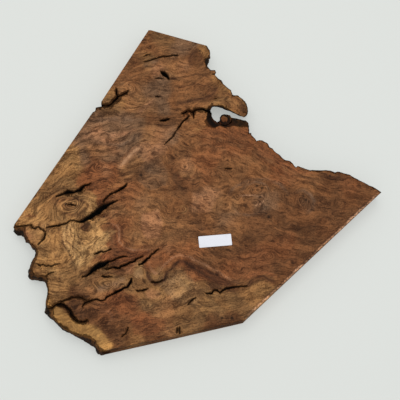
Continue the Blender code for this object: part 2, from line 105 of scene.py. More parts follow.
# Limits for the meshes
MERGE_DISTANCE = 0.00001
FACE_LIMIT = 200000
SLAB_SMOOTHING = math.radians(38)
LABEL_SMOOTHING = math.radians(30)
FLAT_ANGLE = 0.001       # faces that meet at less than this are one flat face, in radians

# Reach of the dark stain beside live edges, and of the painted shade beside cracks, in millimetres
BARK_STAIN = 1.4
CRACK_RIM_SHADE = 0.6
LEAST_STAIN_AND_SHADE_REACH = 0.2
STAIN_AND_SHADE_WAVER = [(0.8, 3.0, 90), (0.5, 11.0, 95)]     # share, cell and seed of the noise in its reach

# The knob in the hollow, whose top is bare wood, on the plan in millimetres
KNOB_PLACE = (32.3, 78.8)
KNOB_REACH = 3.8
KNOB_RING = 3.5      # width of the dark ring round the knob
KNOB_RING_SHARE = 0.9
SIDE_BARENESS = 0.2  # how much bare wood shows where the bark faces up, away from the knob

# The wall of the hollow, painted near black as shade, and a darker lip beside it: course in the picture and
# reach in millimetres
HOLLOW_WALL_SHADE = [(205, 106), (208, 113), (210, 120), (214, 125), (221, 127), (227, 127)]
HOLLOW_WALL_SHADE_REACH = 4.5
DARK_LIP = [(229, 126), (236, 123), (243, 123), (248, 127)]
DARK_LIP_REACH = 6.0
DARK_LIP_SHARE = 0.72

# Painted shade darkening the foot of the slab, along its lower sawn sides, on the plan in millimetres
FOOT_SHADE_COURSE = [(-112, -196), (-30, -180), (49, -164)]
FOOT_SHADE_REACH = 2.5
FOOT_SHADE_DEPTH = 2.0
FOOT_SHADE_SHARE = 0.5

# Where the wood is smooth and plain: picture place, reach in pixels, and how plain
SMOOTH_PLACES = [
    (56, 312, 7, 0.5), (64, 321, 7, 0.5), (74, 327, 8, 0.5), (84, 330, 8, 0.5), (94, 333, 8, 0.5),
    (102, 341, 8, 0.5), (136, 150, 4, 0.7), (131, 156, 4, 0.8), (126, 162, 4, 0.7), (36, 234, 7, 0.25),
    (157, 267, 6, 0.5), (138, 272, 4, 0.6),
]

# The figure is vivid left of the first of these, in millimetres, and calm right of the second
VIVID_EDGE = (-120.0, -60.0)

# A speckled patch where it is vivid too: picture place, and reach in millimetres
SPECKLED_PLACE = (176, 292)
SPECKLED_REACH = 30.0

# Wood tones: name, and colour as seen in plain daylight, 0 to 255
TONES = {
    "chocolate": (99, 65, 41),
    "umber": (84, 55, 34),
    "walnut": (122, 83, 53),
    "red_heart": (118, 72, 45),
    "rust": (128, 80, 50),
    "tan": (138, 99, 66),
    "rosy": (148, 106, 78),
    "pale_tan": (168, 128, 83),
    "cream": (182, 144, 98),
    "bright": (206, 160, 126),
    "gold": (141, 105, 67),
    "honey": (150, 114, 74),
    "dun": (154, 121, 88),
    "dark_red": (88, 52, 32),
    "olive": (120, 90, 59),
    "ash": (112, 87, 68),
    "sapwood": (166, 124, 72),
    "dark_line": (66, 40, 25),
    "bark": (30, 20, 13),
    "pit": (20, 12, 8),
    # Painted shade deep in the cracks
    "crack": (18, 12, 8),
    # Painted shade on the hollow's wall, also used for its darker lip and the ring round the knob
    "hollow_black": (12, 8, 6),
}


def daylight(red, green, blue):
    """Turn a 0 to 255 colour, as seen, into the shader's linear values."""
    shares = [value / 255 for value in (red, green, blue)]
    return tuple(s / 12.92 if s <= 0.04045 else ((s + 0.055) / 1.055) ** 2.4 for s in shares)


# Where each tone lies on the top face: picture place and reach, in pixels
TONE_PATCHES = {
    "chocolate": [(340, 200, 22), (365, 192, 14), (320, 222, 16), (300, 240, 16), (280, 262, 16),
                  (235, 255, 14), (215, 262, 12), (330, 178, 8), (300, 205, 16), (255, 235, 10),
                  (100, 316, 14), (120, 330, 12), (150, 330, 9), (205, 262, 10), (262, 225, 14),
                  (288, 215, 12), (182, 190, 12), (196, 228, 12), (212, 90, 8)],
    "umber": [(250, 240, 8), (300, 228, 8), (270, 216, 5), (140, 175, 7), (232, 317, 7), (215, 320, 6),
              (122, 336, 8), (82, 299, 10), (72, 310, 7), (232, 288, 6), (215, 288, 5), (117, 268, 5),
              (194, 58, 6), (150, 328, 6), (330, 182, 7), (85, 228, 4), (189, 60, 7), (148, 121, 8),
              (165, 125, 7)],
    "walnut": [(170, 200, 18), (190, 148, 16), (150, 186, 12), (210, 215, 12), (200, 80, 14), (185, 95, 14),
               (135, 78, 14), (118, 80, 10), (250, 175, 18), (225, 175, 14), (172, 160, 12), (60, 200, 10),
               (96, 252, 7), (130, 245, 10), (246, 189, 16), (165, 178, 10), (180, 240, 14), (230, 230, 14),
               (310, 180, 14), (160, 50, 12)],
    "red_heart": [(98, 168, 12), (92, 180, 9), (116, 244, 9), (112, 254, 8), (114, 232, 7), (120, 303, 12),
                  (108, 308, 10), (145, 322, 8), (285, 252, 12), (262, 258, 12), (290, 240, 8),
                  (105, 200, 5), (128, 262, 7), (158, 260, 8), (137, 190, 9), (282, 168, 12), (148, 262, 6),
                  (350, 186, 10), (235, 262, 10)],
    "rust": [(240, 146, 9), (215, 140, 12), (265, 155, 7), (160, 252, 12), (185, 250, 14), (240, 264, 9),
             (225, 272, 8), (125, 200, 10), (175, 262, 8), (205, 165, 14), (260, 272, 8), (125, 220, 9),
             (288, 172, 9), (195, 272, 6)],
    "tan": [(145, 212, 22), (150, 228, 16), (135, 100, 12), (145, 108, 10), (150, 135, 12), (100, 150, 10),
            (125, 92, 10), (160, 235, 12), (95, 285, 12), (165, 310, 10), (190, 172, 9), (230, 205, 10),
            (215, 205, 10), (118, 212, 8), (165, 326, 7), (180, 68, 8), (132, 166, 8), (184, 234, 9)],
    "rosy": [(150, 224, 9), (186, 165, 8), (205, 200, 7), (215, 194, 6), (104, 170, 5), (162, 136, 9),
             (100, 131, 7), (150, 150, 8), (110, 142, 9), (143, 205, 7), (34, 232, 7), (155, 68, 6),
             (184, 68, 6), (168, 250, 6), (196, 206, 5), (132, 268, 6), (162, 149, 5)],
    "pale_tan": [(84, 242, 13), (96, 234, 9), (72, 230, 8), (52, 242, 6), (88, 203, 5), (66, 250, 8),
                 (34, 216, 8), (182, 286, 6), (157, 293, 5), (22, 218, 6), (80, 256, 8), (102, 236, 5),
                 (49, 247, 7), (58, 208, 6)],
    "gold": [(225, 95, 8), (238, 105, 8), (244, 112, 6), (205, 51, 5), (218, 84, 7), (108, 92, 7),
             (60, 178, 10), (45, 265, 9), (48, 285, 8), (38, 240, 6), (52, 208, 10), (265, 287, 10),
             (250, 296, 9), (200, 115, 6), (122, 101, 5), (33, 270, 6), (133, 338, 8), (46, 191, 8),
             (70, 275, 9), (225, 302, 8)],
    "honey": [(70, 168, 10), (62, 262, 10), (56, 292, 9), (42, 210, 8), (210, 303, 8), (140, 268, 5),
              (45, 250, 7), (78, 262, 8), (196, 122, 6), (60, 276, 8), (78, 240, 8), (62, 214, 8)],
    "olive": [(150, 62, 8), (165, 44, 10), (240, 302, 10), (150, 302, 10), (192, 305, 10), (105, 277, 8),
              (130, 285, 8), (112, 110, 8), (185, 315, 10), (160, 280, 8), (75, 206, 12), (175, 275, 8),
              (200, 292, 8), (218, 310, 8), (60, 190, 7), (88, 280, 8)],
    "ash": [(96, 140, 10), (112, 133, 10), (115, 122, 12), (135, 128, 12), (130, 145, 10), (105, 154, 8),
            (95, 122, 9), (160, 88, 10), (180, 48, 10), (155, 172, 6), (170, 138, 8), (265, 205, 10),
            (225, 220, 10), (148, 90, 8), (160, 106, 8), (85, 160, 6), (305, 203, 6)],
}

PATCH_SHARPNESS = 1.5                  # how abruptly one tone gives way to the next
COMMON_TONE = 0.22                     # how far every tone leans towards plain walnut
TONE_BALANCE = (0.98, 0.955, 0.875)    # takes back what the pale room adds to every tone

# How the figure shifts on plan for each millimetre down the sides, and how the underside's is warped
GRAIN_SLANT = (0.35, -0.45)
UNDERSIDE_DEPTH = 20
UNDERSIDE_WARP = 9.0
UNDERSIDE_CELL = 60.0

# Wandering of tones, lines and figure: reach, cell, seed across, seed up, and octaves
TONE_WARP = [(2.6, 16.0, 21, 31, 3), (0.8, 4.0, 25, 35, 2)]
LINE_WARP = [(0.8, 9.0, 41, 51, 2)]
FIGURE_SWELL = [(1.6, 18.0, 61, 3), (0.5, 6.0, 65, 2)]

# What a tone is multiplied by, for each shade of it
SHADES = {
    "dark": (0.26, 0.20, 0.16),
    "deep": (0.20, 0.15, 0.12),
    "light": (2.15, 2.02, 1.86),
    "ruddy": (1.12, 0.93, 0.78),
    "worn": (0.44, 0.35, 0.28),
    "bare": (0.80, 0.74, 0.68),
    "crack_lip": (0.30, 0.25, 0.22),
}

# Two courses of the figure: how far wide and small curls push it, in metres
CURLS = {"calm": (0.010, 0.0015), "wild": (0.026, 0.0065)}

# Grains along the figure: its course, cells of noise to a metre across and along it, and detail
GRAINS = {
    "broad": ("calm", 130.0, 30.0, 3.0),
    "middle": ("calm", 330.0, 60.0, 3.0),
    "fine": ("calm", 800.0, 110.0, 3.0),
    "bands": ("wild", 115.0, 13.0, 3.0),
    "contour": ("wild", 210.0, 22.0, 2.0),
    "fine_contour": ("wild", 520.0, 45.0, 2.0),
    "dashes": ("calm", 430.0, 80.0, 1.0),
}

# Patterns that follow no grain: scale, detail and roughness of their noise
SPECKLES = {
    "warm_clouds": (55.0, 3.0, 0.5),
    "lined_places": (30.0, 2.0, 0.5),
    "mottle": (170.0, 5.0, 0.65),
    "pepper": (640.0, 2.0, 0.7),
    "flecks": (520.0, 2.0, 0.5),
}
RING_PERIOD = 0.0021     # from one ring round a burl eye to the next, in metres
LINE_FORCE = 0.7         # strength of the figure's lines where it is calm, and what vivid figure adds
VIVID_FORCE = 0.7

# Layers of the burl face in order: pattern, shade, value where it starts and where it is full,
# strength, and whether it is stronger where the figure is vivid
FACE_LAYERS = [
    ("warm_clouds", "ruddy", 0.45, 0.62, 0.6, False),
    ("broad", "dark", 0.51, 0.67, 0.62, False),
    ("broad", "light", 0.48, 0.32, 0.5, False),
    ("middle", "dark", 0.53, 0.68, 0.5, True),
    ("middle", "light", 0.46, 0.32, 0.4, True),
    ("bands", "dark", 0.52, 0.63, 0.52, True),
    ("bands", "light", 0.47, 0.37, 0.38, False),
    ("contour", "dark", 0.54, 0.62, 0.55, True),
    ("contour", "light", 0.45, 0.36, 0.5, True),
    ("fine_contour", "dark", 0.55, 0.66, 0.22, True),
    ("fine", "dark", 0.51, 0.66, 0.4, False),
    ("fine", "light", 0.47, 0.34, 0.32, False),
    ("mottle", "dark", 0.53, 0.66, 0.5, False),
    ("mottle", "light", 0.46, 0.33, 0.35, False),
    ("pepper", "dark", 0.55, 0.66, 0.55, False),
    ("pepper", "light", 0.44, 0.34, 0.35, False),
    ("rings", "dark", 0.1, 0.9, 0.6, True),
    ("rings", "light", -0.2, -0.9, 0.35, True),
    ("dashes", "deep", 0.63, 0.70, 0.65, False),
    ("pepper", "deep", 0.57, 0.62, 0.22, True),
]

# The sapwood strip along the lower left edge
SAPWOOD_STRIP = [(46, 304), (55, 313), (61, 319), (68, 323), (76, 328), (85, 331), (92, 333), (98, 339),
                 (104, 346)]
SAPWOOD_WIDTH = (6.2, 7.4)     # half width at its two ends, in pixels
SAPWOOD_WAVER = 1.2            # how far its edge wavers, in millimetres
SAPWOOD_WAVER_CELL = 9.0
SAPWOOD_EDGE = 0.7             # softness of its edge, in millimetres
SAPWOOD_SHARE = 0.92

# Patches of one tone with a clear edge on the top face: tone, strength, and outline in the picture
REGIONS = [
    ("cream", 0.65, [(63, 226), (73, 222), (88, 223), (103, 227), (117, 231), (111, 238), (105, 243),
                     (110, 250), (96, 255), (86, 266), (73, 267), (66, 250), (62, 238)]),
    ("cream", 0.95, [(84, 197), (92, 200), (97, 206), (94, 212), (88, 216), (85, 213), (90, 207),
                     (88, 203)]),
    ("red_heart", 0.8, [(101, 226), (111, 223), (120, 225), (121, 236), (123, 246), (135, 250), (150, 250),
                        (150, 255), (130, 261), (110, 262), (99, 257), (109, 250), (105, 243), (113, 237),
                        (117, 231)]),
    ("umber", 0.95, [(80, 227.5), (83, 224), (88, 224), (90.5, 228), (88, 232), (83, 232)]),
    ("chocolate", 0.95, [(100, 228), (104, 224.5), (110, 225), (113.5, 228.5), (109, 232), (103, 232)]),
    ("dun", 0.9, [(135, 272), (138, 267), (142, 265), (142, 271), (143, 278), (139, 279), (134, 276)]),
    ("dark_red", 0.85, [(179, 260), (186, 260), (195, 264), (205, 268.5), (215, 273.5), (225, 279),
                        (234, 284), (233, 286.5), (222, 285), (210, 282), (199, 277), (190, 270.5),
                        (184, 266), (178, 263.5)]),
    ("dun", 0.3, [(168, 277), (180, 268), (190, 277), (202, 288), (200, 300), (188, 306), (172, 300),
                  (164, 288)]),
    ("dun", 0.6, [(158, 279), (166, 277), (171, 283), (166, 290), (159, 288)]),
    ("dun", 0.35, [(166, 280), (174, 276), (183, 278), (187, 288), (182, 297), (172, 299), (164, 291)]),
    ("chocolate", 0.7, [(222, 90), (232, 95), (240, 99), (246, 105), (249, 112), (245, 117.5), (236, 113),
                        (226, 106), (218, 102)]),
    ("umber", 0.6, [(240, 101), (247, 106), (248, 113), (243, 115), (238, 108)]),
    ("chocolate", 0.8, [(246, 287), (250, 280), (258, 276), (264, 275.5), (270, 278), (278, 282), (275, 286),
                        (268, 283), (262, 280), (254, 283), (249, 288)]),
    ("rust", 0.55, [(183, 113), (190, 110), (207, 112), (208, 121), (203, 127), (192, 129), (184, 123)]),
    ("rosy", 0.6, [(142, 144), (143, 149), (136, 155), (130, 161), (125, 166), (118, 170), (118, 162),
                   (125, 154), (132, 148)]),
    ("bright", 0.75, [(140, 146), (140, 148), (134, 153), (129.5, 158.5), (125, 163.5), (121, 166),
                      (123, 161), (128, 155.5), (133.5, 150.5)]),
    ("gold", 0.5, [(252, 294), (260, 288), (267, 287), (273, 289), (262, 296), (252, 302), (244, 302)]),
    ("olive", 0.5, [(208, 296), (222, 292), (238, 296), (236, 308), (220, 313), (209, 308)]),
    ("chocolate", 0.7, [(170, 150), (176, 163), (178, 176), (190, 182), (200, 176), (203, 190), (196, 199),
                        (184, 193), (172, 180), (167, 165)]),
    ("rosy", 0.6, [(193, 193), (212, 190), (216, 200), (211, 212), (199, 213), (192, 204)]),
    ("ash", 0.45, [(146, 160), (160, 158), (168, 170), (166, 186), (150, 190), (138, 182), (138, 168)]),
    ("umber", 0.6, [(136, 170), (141, 168), (146, 173), (144, 180), (138, 181), (134, 176)]),
    ("pale_tan", 0.6, [(25, 229), (33, 225), (46, 225), (52, 231), (47, 237), (36, 236), (28, 234)]),
    ("pale_tan", 0.85, [(36, 259), (48, 254), (58, 258), (58, 270), (46, 276), (37, 270)]),
    ("olive", 0.6, [(92, 286), (97, 280), (108, 276), (120, 275), (128, 278), (124, 285), (112, 290),
                    (98, 292)]),
    ("rosy", 0.6, [(145, 291), (152, 288), (160, 291), (160, 297), (152, 299), (146, 297)]),
    ("red_heart", 0.6, [(130, 319), (148, 317), (166, 320), (166, 330), (150, 335), (134, 335)]),
    ("rosy", 0.9, [(142, 214), (158, 210), (163, 222), (159, 238), (146, 240), (140, 228)]),
    ("ash", 0.6, [(128, 134), (140, 131), (144, 138), (136, 143), (128, 141)]),
    ("rosy", 0.5, [(154, 146), (160, 143), (165, 148), (160, 154), (154, 152)]),
]
REGION_EDGE = 1.5      # width of the blend at a patch's edge, in millimetres
REGION_MARGIN = 4.0    # a patch is nowhere to be seen further out than this

STREAK_FORCE = 1.4
STREAK_REACH = 4       # half widths from a streak at which it has faded out
STREAK_TAPER = 6       # how fast a streak grows from its tips, which have a share of its strength
STREAK_TIP = 0.25
STREAK_CELL = 6.0      # size of the places where a streak is fainter or stronger, in millimetres
STREAK_SEED = 300

# Lines and streaks of tone on the top face: tone, half width in pixels, strength, course in the picture
STREAKS = [
    ("rosy", 1.1, 0.55, [(147, 258), (149.5, 263), (151, 270), (155, 274), (160, 271), (165, 264),
                         (172, 258), (180, 255.5), (190, 257), (200, 262.5), (212, 268.5), (223, 275),
                         (233, 281), (240, 283)]),
    # Along the lower right sawn side: a dark line just inside its rim, and a painted highlight on the rim
    # itself
    ("dark_line", 0.9, 0.6, [(244.5, 317), (280, 284), (320, 246.5), (360, 209), (379, 191)]),
    ("bright", 0.6, 0.8, [(245, 318.6), (280, 285.8), (320, 248.3), (360, 210.8), (380.5, 191.7)]),
    ("dark_line", 1.5, 0.9, [(144, 263), (145.5, 272), (149, 280), (156, 284), (163, 281), (167, 274),
                             (173, 267), (179, 262), (184, 261), (191, 266), (199, 272), (208, 277),
                             (219, 281), (229, 285)]),
    ("dark_line", 1.0, 0.7, [(187, 260), (196, 265), (205, 270), (214, 274), (224, 279), (232, 284)]),
    ("dark_line", 1.4, 0.8, [(246, 286), (251, 280.5), (258, 277), (263.5, 276.5), (269, 279.5),
                             (277, 283)]),
    ("rust", 1.6, 0.6, [(243, 283), (249, 277), (258, 273), (266, 272.5), (276, 277)]),
    ("dark_red", 1.0, 0.8, [(114, 228), (116, 238), (116.5, 245), (122, 251), (134, 254), (150, 253)]),
    ("dark_line", 0.8, 0.5, [(112, 226), (113, 234), (110, 241), (112, 248)]),
    ("dark_line", 1.2, 0.5, [(206, 290), (214, 289), (222, 290), (232, 287), (242, 286), (254, 282),
                             (262, 281)]),
    ("umber", 3.5, 0.6, [(206, 288), (220, 289), (235, 287), (250, 283)]),
    ("dark_red", 0.9, 0.7, [(116, 222), (122, 226), (122.5, 238), (127, 244), (138, 247), (152, 246)]),
    ("rosy", 0.9, 0.9, [(108, 223), (117, 225), (119, 230), (119.5, 241), (124, 247), (136, 250.5),
                        (150, 249.5)]),
    ("chocolate", 3.2, 0.6, [(110, 232), (112, 240), (111, 247), (118, 254)]),
    ("umber", 1.2, 0.5, [(143, 150), (137, 156), (131, 162), (126, 168)]),
    ("rosy", 3.0, 0.5, [(152, 101), (146, 106), (139, 112)]),
    ("umber", 2.6, 0.7, [(189, 65), (191, 58), (194, 53), (199, 49)]),
    ("dark_line", 1.0, 0.5, [(188, 63), (190, 57), (193, 52)]),
    ("dark_line", 1.0, 0.45, [(198, 63), (199, 58), (203, 55)]),
    ("umber", 2.4, 0.6, [(174, 105), (184, 102), (195, 99.5), (204, 98), (212, 95), (215, 90), (218, 85)]),
    ("dark_line", 0.9, 0.8, [(176, 105), (186, 102), (195, 100), (204, 98.5), (211, 96), (215, 91),
                             (218, 85)]),
    ("dark_line", 0.8, 0.5, [(150, 76), (160, 78), (172, 79), (186, 77), (198, 74), (206, 76), (214, 82)]),
    ("dark_line", 0.8, 0.5, [(172, 88), (186, 86), (198, 84), (208, 86), (214, 89)]),
    ("dark_line", 0.7, 0.7, [(75, 221), (71, 228), (72, 237), (78, 243), (86, 245), (94, 242)]),
    ("dark_line", 0.7, 0.7, [(70, 222), (66, 230), (67, 240), (73, 248), (80, 253), (84, 262)]),
    ("dark_line", 0.7, 0.7, [(64, 226), (62, 236), (64, 246), (70, 256), (75, 264), (76, 276)]),
    ("dark_line", 0.6, 0.6, [(79, 228), (82, 223), (89, 223.5), (92, 228), (88, 233), (82, 232.5),
                             (79, 228)]),
    ("cream", 0.7, 0.8, [(72, 222), (68.5, 229), (69.5, 238.5), (75.5, 246), (83, 249), (92, 247)]),
    ("cream", 0.7, 0.7, [(67, 224), (64, 233), (65.5, 243), (71.5, 252), (77.5, 259), (80, 268)]),
    ("umber", 0.6, 0.6, [(94, 221), (97, 229), (95, 237), (88, 241), (80, 239), (76, 232)]),
    ("umber", 0.6, 0.55, [(98, 236), (94, 246), (96, 256), (90, 266), (92, 276)]),
    ("umber", 0.6, 0.5, [(88, 249), (86, 258), (84, 270), (86, 280)]),
    ("red_heart", 1.4, 0.5, [(96, 218), (104, 216), (112, 220), (110, 214), (120, 210)]),
    ("dark_line", 0.6, 0.6, [(98, 228), (103, 223.5), (111, 224), (115, 228.5), (110, 233), (102, 233)]),
    ("dark_line", 0.7, 0.6, [(345, 199.5), (345.5, 206), (341, 209.5), (334, 211.5), (330, 216)]),
    ("umber", 1.4, 0.5, [(150, 97), (156, 96.5), (162, 96)]),
    ("gold", 2.6, 0.5, [(206, 107), (212, 103), (220, 100), (228, 100), (238, 105)]),
    ("umber", 1.3, 0.5, [(128, 119), (140, 116), (152, 117), (160, 120)]),
    ("umber", 1.3, 0.45, [(145, 125), (155, 118), (166, 113), (178, 112)]),
    ("ash", 3.0, 0.5, [(92, 122), (106, 119), (122, 119), (140, 121)]),
    ("rosy", 1.8, 0.5, [(88, 133), (100, 132), (112, 135), (124, 134), (136, 129)]),
    ("ash", 2.0, 0.55, [(92, 142), (105, 143), (118, 146), (130, 141), (142, 133)]),
    ("rosy", 1.8, 0.55, [(84, 137), (97, 138), (110, 141)]),
    ("umber", 1.6, 0.4, [(92, 156), (104, 153), (118, 152), (128, 147)]),
    ("umber", 3.0, 0.5, [(171, 165), (173, 176), (179, 188), (188, 196)]),
    ("umber", 1.8, 0.4, [(118, 178), (128, 172), (140, 173), (146, 168)]),
    ("walnut", 2.4, 0.5, [(180, 131), (204, 136), (226, 142), (247, 149), (268, 160), (290, 172), (312, 180),
                          (334, 188)]),
    ("dark_line", 0.6, 0.5, [(205, 131), (225, 134), (245, 139), (262, 149), (280, 163), (298, 174),
                             (316, 181)]),
    ("dark_line", 0.5, 0.5, [(215, 138), (240, 145), (262, 157), (282, 172), (300, 181), (320, 187)]),
    ("umber", 1.0, 0.6, [(226, 92), (234, 97), (241, 104), (243, 111)]),
    ("dark_line", 0.6, 0.6, [(216, 97), (226, 99), (235, 104), (242, 109)]),
    ("dark_line", 0.5, 0.45, [(232, 129), (244, 134), (256, 142), (270, 153), (284, 164)]),
    ("walnut", 2.0, 0.4, [(186, 140), (210, 146), (234, 153), (258, 164), (282, 178), (306, 188)]),
    ("umber", 1.2, 0.35, [(200, 131), (222, 135), (244, 142), (262, 152), (280, 163), (300, 175),
                          (322, 181)]),
    ("umber", 2.0, 0.5, [(318, 175), (330, 176), (342, 178)]),
    ("rust", 1.6, 0.45, [(255, 147), (268, 155), (284, 164), (298, 171), (316, 174)]),
    ("umber", 1.6, 0.5, [(326, 229), (318, 226), (306, 227), (292, 229), (282, 227)]),
    ("ash", 1.8, 0.5, [(297, 192), (304, 190), (311, 194), (314, 201), (312, 209), (306, 213)]),
    ("umber", 1.2, 0.5, [(301, 195), (306, 194), (309, 199), (308, 205)]),
    ("ash", 1.6, 0.4, [(226, 196), (236, 186), (250, 180), (266, 179), (280, 184), (288, 193)]),
    ("ash", 1.4, 0.4, [(230, 207), (238, 213), (250, 215), (262, 211), (270, 203)]),
    ("pale_tan", 1.6, 0.7, [(80, 196), (86, 199), (91, 202), (94, 206), (92, 210), (87, 214)]),
    ("honey", 1.5, 0.6, [(58, 198), (70, 195.5), (82, 196), (92, 197)]),
    ("umber", 1.2, 0.5, [(57, 203), (60, 198.5), (68, 197), (78, 199), (86, 202), (89, 206), (84, 211),
                         (74, 215), (64, 213), (57, 208)]),
    ("pale_tan", 1.2, 0.5, [(60, 205), (66, 201), (76, 202), (83, 206), (78, 210), (68, 211), (61, 208)]),
    ("umber", 1.0, 0.5, [(64, 206), (69, 203), (76, 205), (78, 207)]),
    ("umber", 1.2, 0.45, [(60, 222), (59, 232), (62, 242), (68, 251), (72, 262), (72, 274)]),
    ("honey", 1.4, 0.5, [(64, 224), (63, 234), (67, 243), (73, 251), (78, 262), (79, 274)]),
    ("umber", 1.0, 0.4, [(68, 226), (68, 235), (73, 243), (80, 249), (86, 258)]),
    ("pale_tan", 1.3, 0.5, [(72, 224), (73, 234), (79, 240), (88, 245)]),
    ("umber", 1.0, 0.4, [(54, 250), (58, 262), (60, 276), (58, 290)]),
    ("umber", 3.2, 0.55, [(80, 226), (86, 224), (92, 226)]),
    ("bright", 0.5, 0.6, [(238, 196), (246, 194.5), (254, 195), (260, 197), (264, 196)]),
    ("bright", 0.5, 0.5, [(255, 206), (261, 203.5), (265, 200.5)]),
    ("ash", 1.2, 0.5, [(240, 192), (246, 185), (256, 182), (266, 185), (270, 192)]),
    ("dark_line", 0.6, 0.7, [(217.5, 200), (217, 207), (217, 213)]),
    ("pale_tan", 0.8, 0.5, [(180, 206), (184, 206), (187, 210), (184, 213), (180, 212)]),
    ("dark_red", 1.0, 0.6, [(175, 172), (180, 178), (190, 179), (198, 173)]),
    ("dark_line", 1.0, 0.35, [(58, 300), (66, 299), (74, 296), (82, 296), (90, 299)]),
    ("umber", 3.0, 0.6, [(64, 303), (72, 306), (80, 312), (88, 317)]),
    ("umber", 1.3, 0.5, [(92, 306), (104, 304), (114, 308), (118, 316), (114, 325)]),
    ("rosy", 1.2, 0.4, [(100, 311), (108, 311), (112, 317), (108, 325)]),
    ("umber", 1.2, 0.5, [(124, 296), (136, 299), (142, 306), (150, 309), (158, 304)]),
    ("olive", 1.4, 0.5, [(140, 300), (147, 301), (152, 306), (148, 310), (142, 307)]),
    ("dark_line", 0.9, 0.5, [(188, 304), (190, 301), (193, 299), (196, 297)]),
    ("umber", 1.2, 0.4, [(160, 296), (168, 290), (176, 287), (186, 288), (194, 294)]),
    ("umber", 1.0, 0.4, [(108, 330), (116, 328), (124, 330)]),
    ("umber", 2.4, 0.5, [(108, 270), (116, 272), (126, 270), (134, 264)]),
    ("ash", 3.0, 0.45, [(94, 290), (106, 287), (118, 283), (126, 277)]),
    ("pale_tan", 2.0, 0.5, [(134, 274), (138, 268), (141, 262)]),
    ("dark_line", 0.7, 0.5, [(24, 216.5), (36, 216.3)]),
    ("rust", 1.0, 0.6, [(24, 216.5), (36, 216.3)]),
    ("dark_line", 0.7, 0.45, [(50, 233.6), (61, 233.4)]),
    ("umber", 1.6, 0.4, [(150, 71), (156, 74), (160, 76)]),
    ("ash", 2.4, 0.5, [(144, 66), (152, 62), (160, 60)]),
    ("umber", 1.2, 0.4, [(122, 80), (130, 79), (137, 84), (136, 92), (128, 96)]),
    ("tan", 1.4, 0.5, [(118, 84), (127, 83), (132, 88), (130, 94)]),
]

# Burl eyes: picture place, reach across and up in pixels, turn in degrees, and how strongly each one shows
EYES = [
    (71, 205, 22, 14, 8, 0.75), (85, 228, 10, 8, 0, 0.6), (185, 167, 11, 9, 0, 0.75),
    (182, 209, 10, 7, 15, 0.9), (257, 190, 12, 10, 0, 1.0), (246, 182, 6, 5, 0, 0.8),
    (264, 184, 5, 5, 0, 0.7), (255, 203, 9, 6, 10, 0.9), (238, 196, 6, 6, 0, 0.7),
    (303, 201, 9, 13, 10, 0.9), (226, 205, 7, 6, 0, 0.7), (269, 256, 8, 7, 0, 0.9), (293, 263, 7, 6, 0, 0.7),
    (214, 174, 7, 6, 0, 0.7), (286, 196, 6, 5, 0, 0.6), (148, 305, 9, 8, 20, 0.6),
    (134, 150, 5, 10, -40, 0.6), (200, 54, 6, 9, -30, 0.7), (166, 75, 9, 8, 0, 0.9),
    (270, 217, 5, 4, 0, 0.8), (130, 88, 9, 8, 0, 0.8), (108, 314, 10, 9, 0, 0.35),
    (178, 290, 10, 7, 0, 0.25), (160, 148, 9, 6, 0, 0.6), (240, 226, 6, 5, 0, 0.5),
    (98, 168, 10, 9, 20, 0.7), (205, 143, 7, 5, 0, 0.5), (325, 222, 8, 6, 30, 0.5), (205, 316, 9, 5, 5, 0.6),
    (238, 301, 8, 5, 10, 0.6), (150, 205, 10, 8, 0, 0.4), (127, 231, 9, 12, 0, 0.5),
    (108, 284, 16, 6, -12, 0.7), (150, 48, 10, 5, 0, 0.5), (180, 45, 8, 5, 0, 0.5),
    (110, 130, 12, 6, 5, 0.5), (270, 240, 6, 6, 0, 0.5), (305, 232, 7, 5, 0, 0.5), (232, 160, 8, 5, 10, 0.4),
    (340, 205, 9, 7, 30, 0.5),
]
RING_SLOPE = 0.9     # how fast the figure falls away round an eye
EYE_FORCE = 1.25     # how much of the figure an eye of full strength takes over
EYE_FADE = 1.35      # an eye has faded out at this many times its reach
EYE_RISE = 0.002     # how far the figure rises at an eye's centre, in millimetres

# Small dark specks, each by its picture place and reach in pixels
SPECKS = [
    (185, 167, 1.2), (71, 204, 1.3), (66, 204, 1.2), (257, 186, 1.3), (262, 188, 1.3), (253, 190, 1.0),
    (260, 197, 1.2), (269, 217, 1.6), (266, 213, 1.0), (73, 233, 0.9), (69, 251, 0.9), (70, 255, 0.8),
    (244, 200, 0.9), (226, 204, 0.9), (222, 318, 1.4), (232, 318, 1.6), (200, 51, 1.2), (166, 75, 1.0),
    (96, 222, 1.0), (99, 220, 1.0), (104, 217, 0.9), (148, 306, 0.9), (306, 200, 1.2), (303, 196, 0.9),
    (287, 195, 1.0), (250, 181, 0.9), (330, 176, 1.2), (218, 316, 0.9), (293, 263, 0.8), (141, 175, 1.6),
]

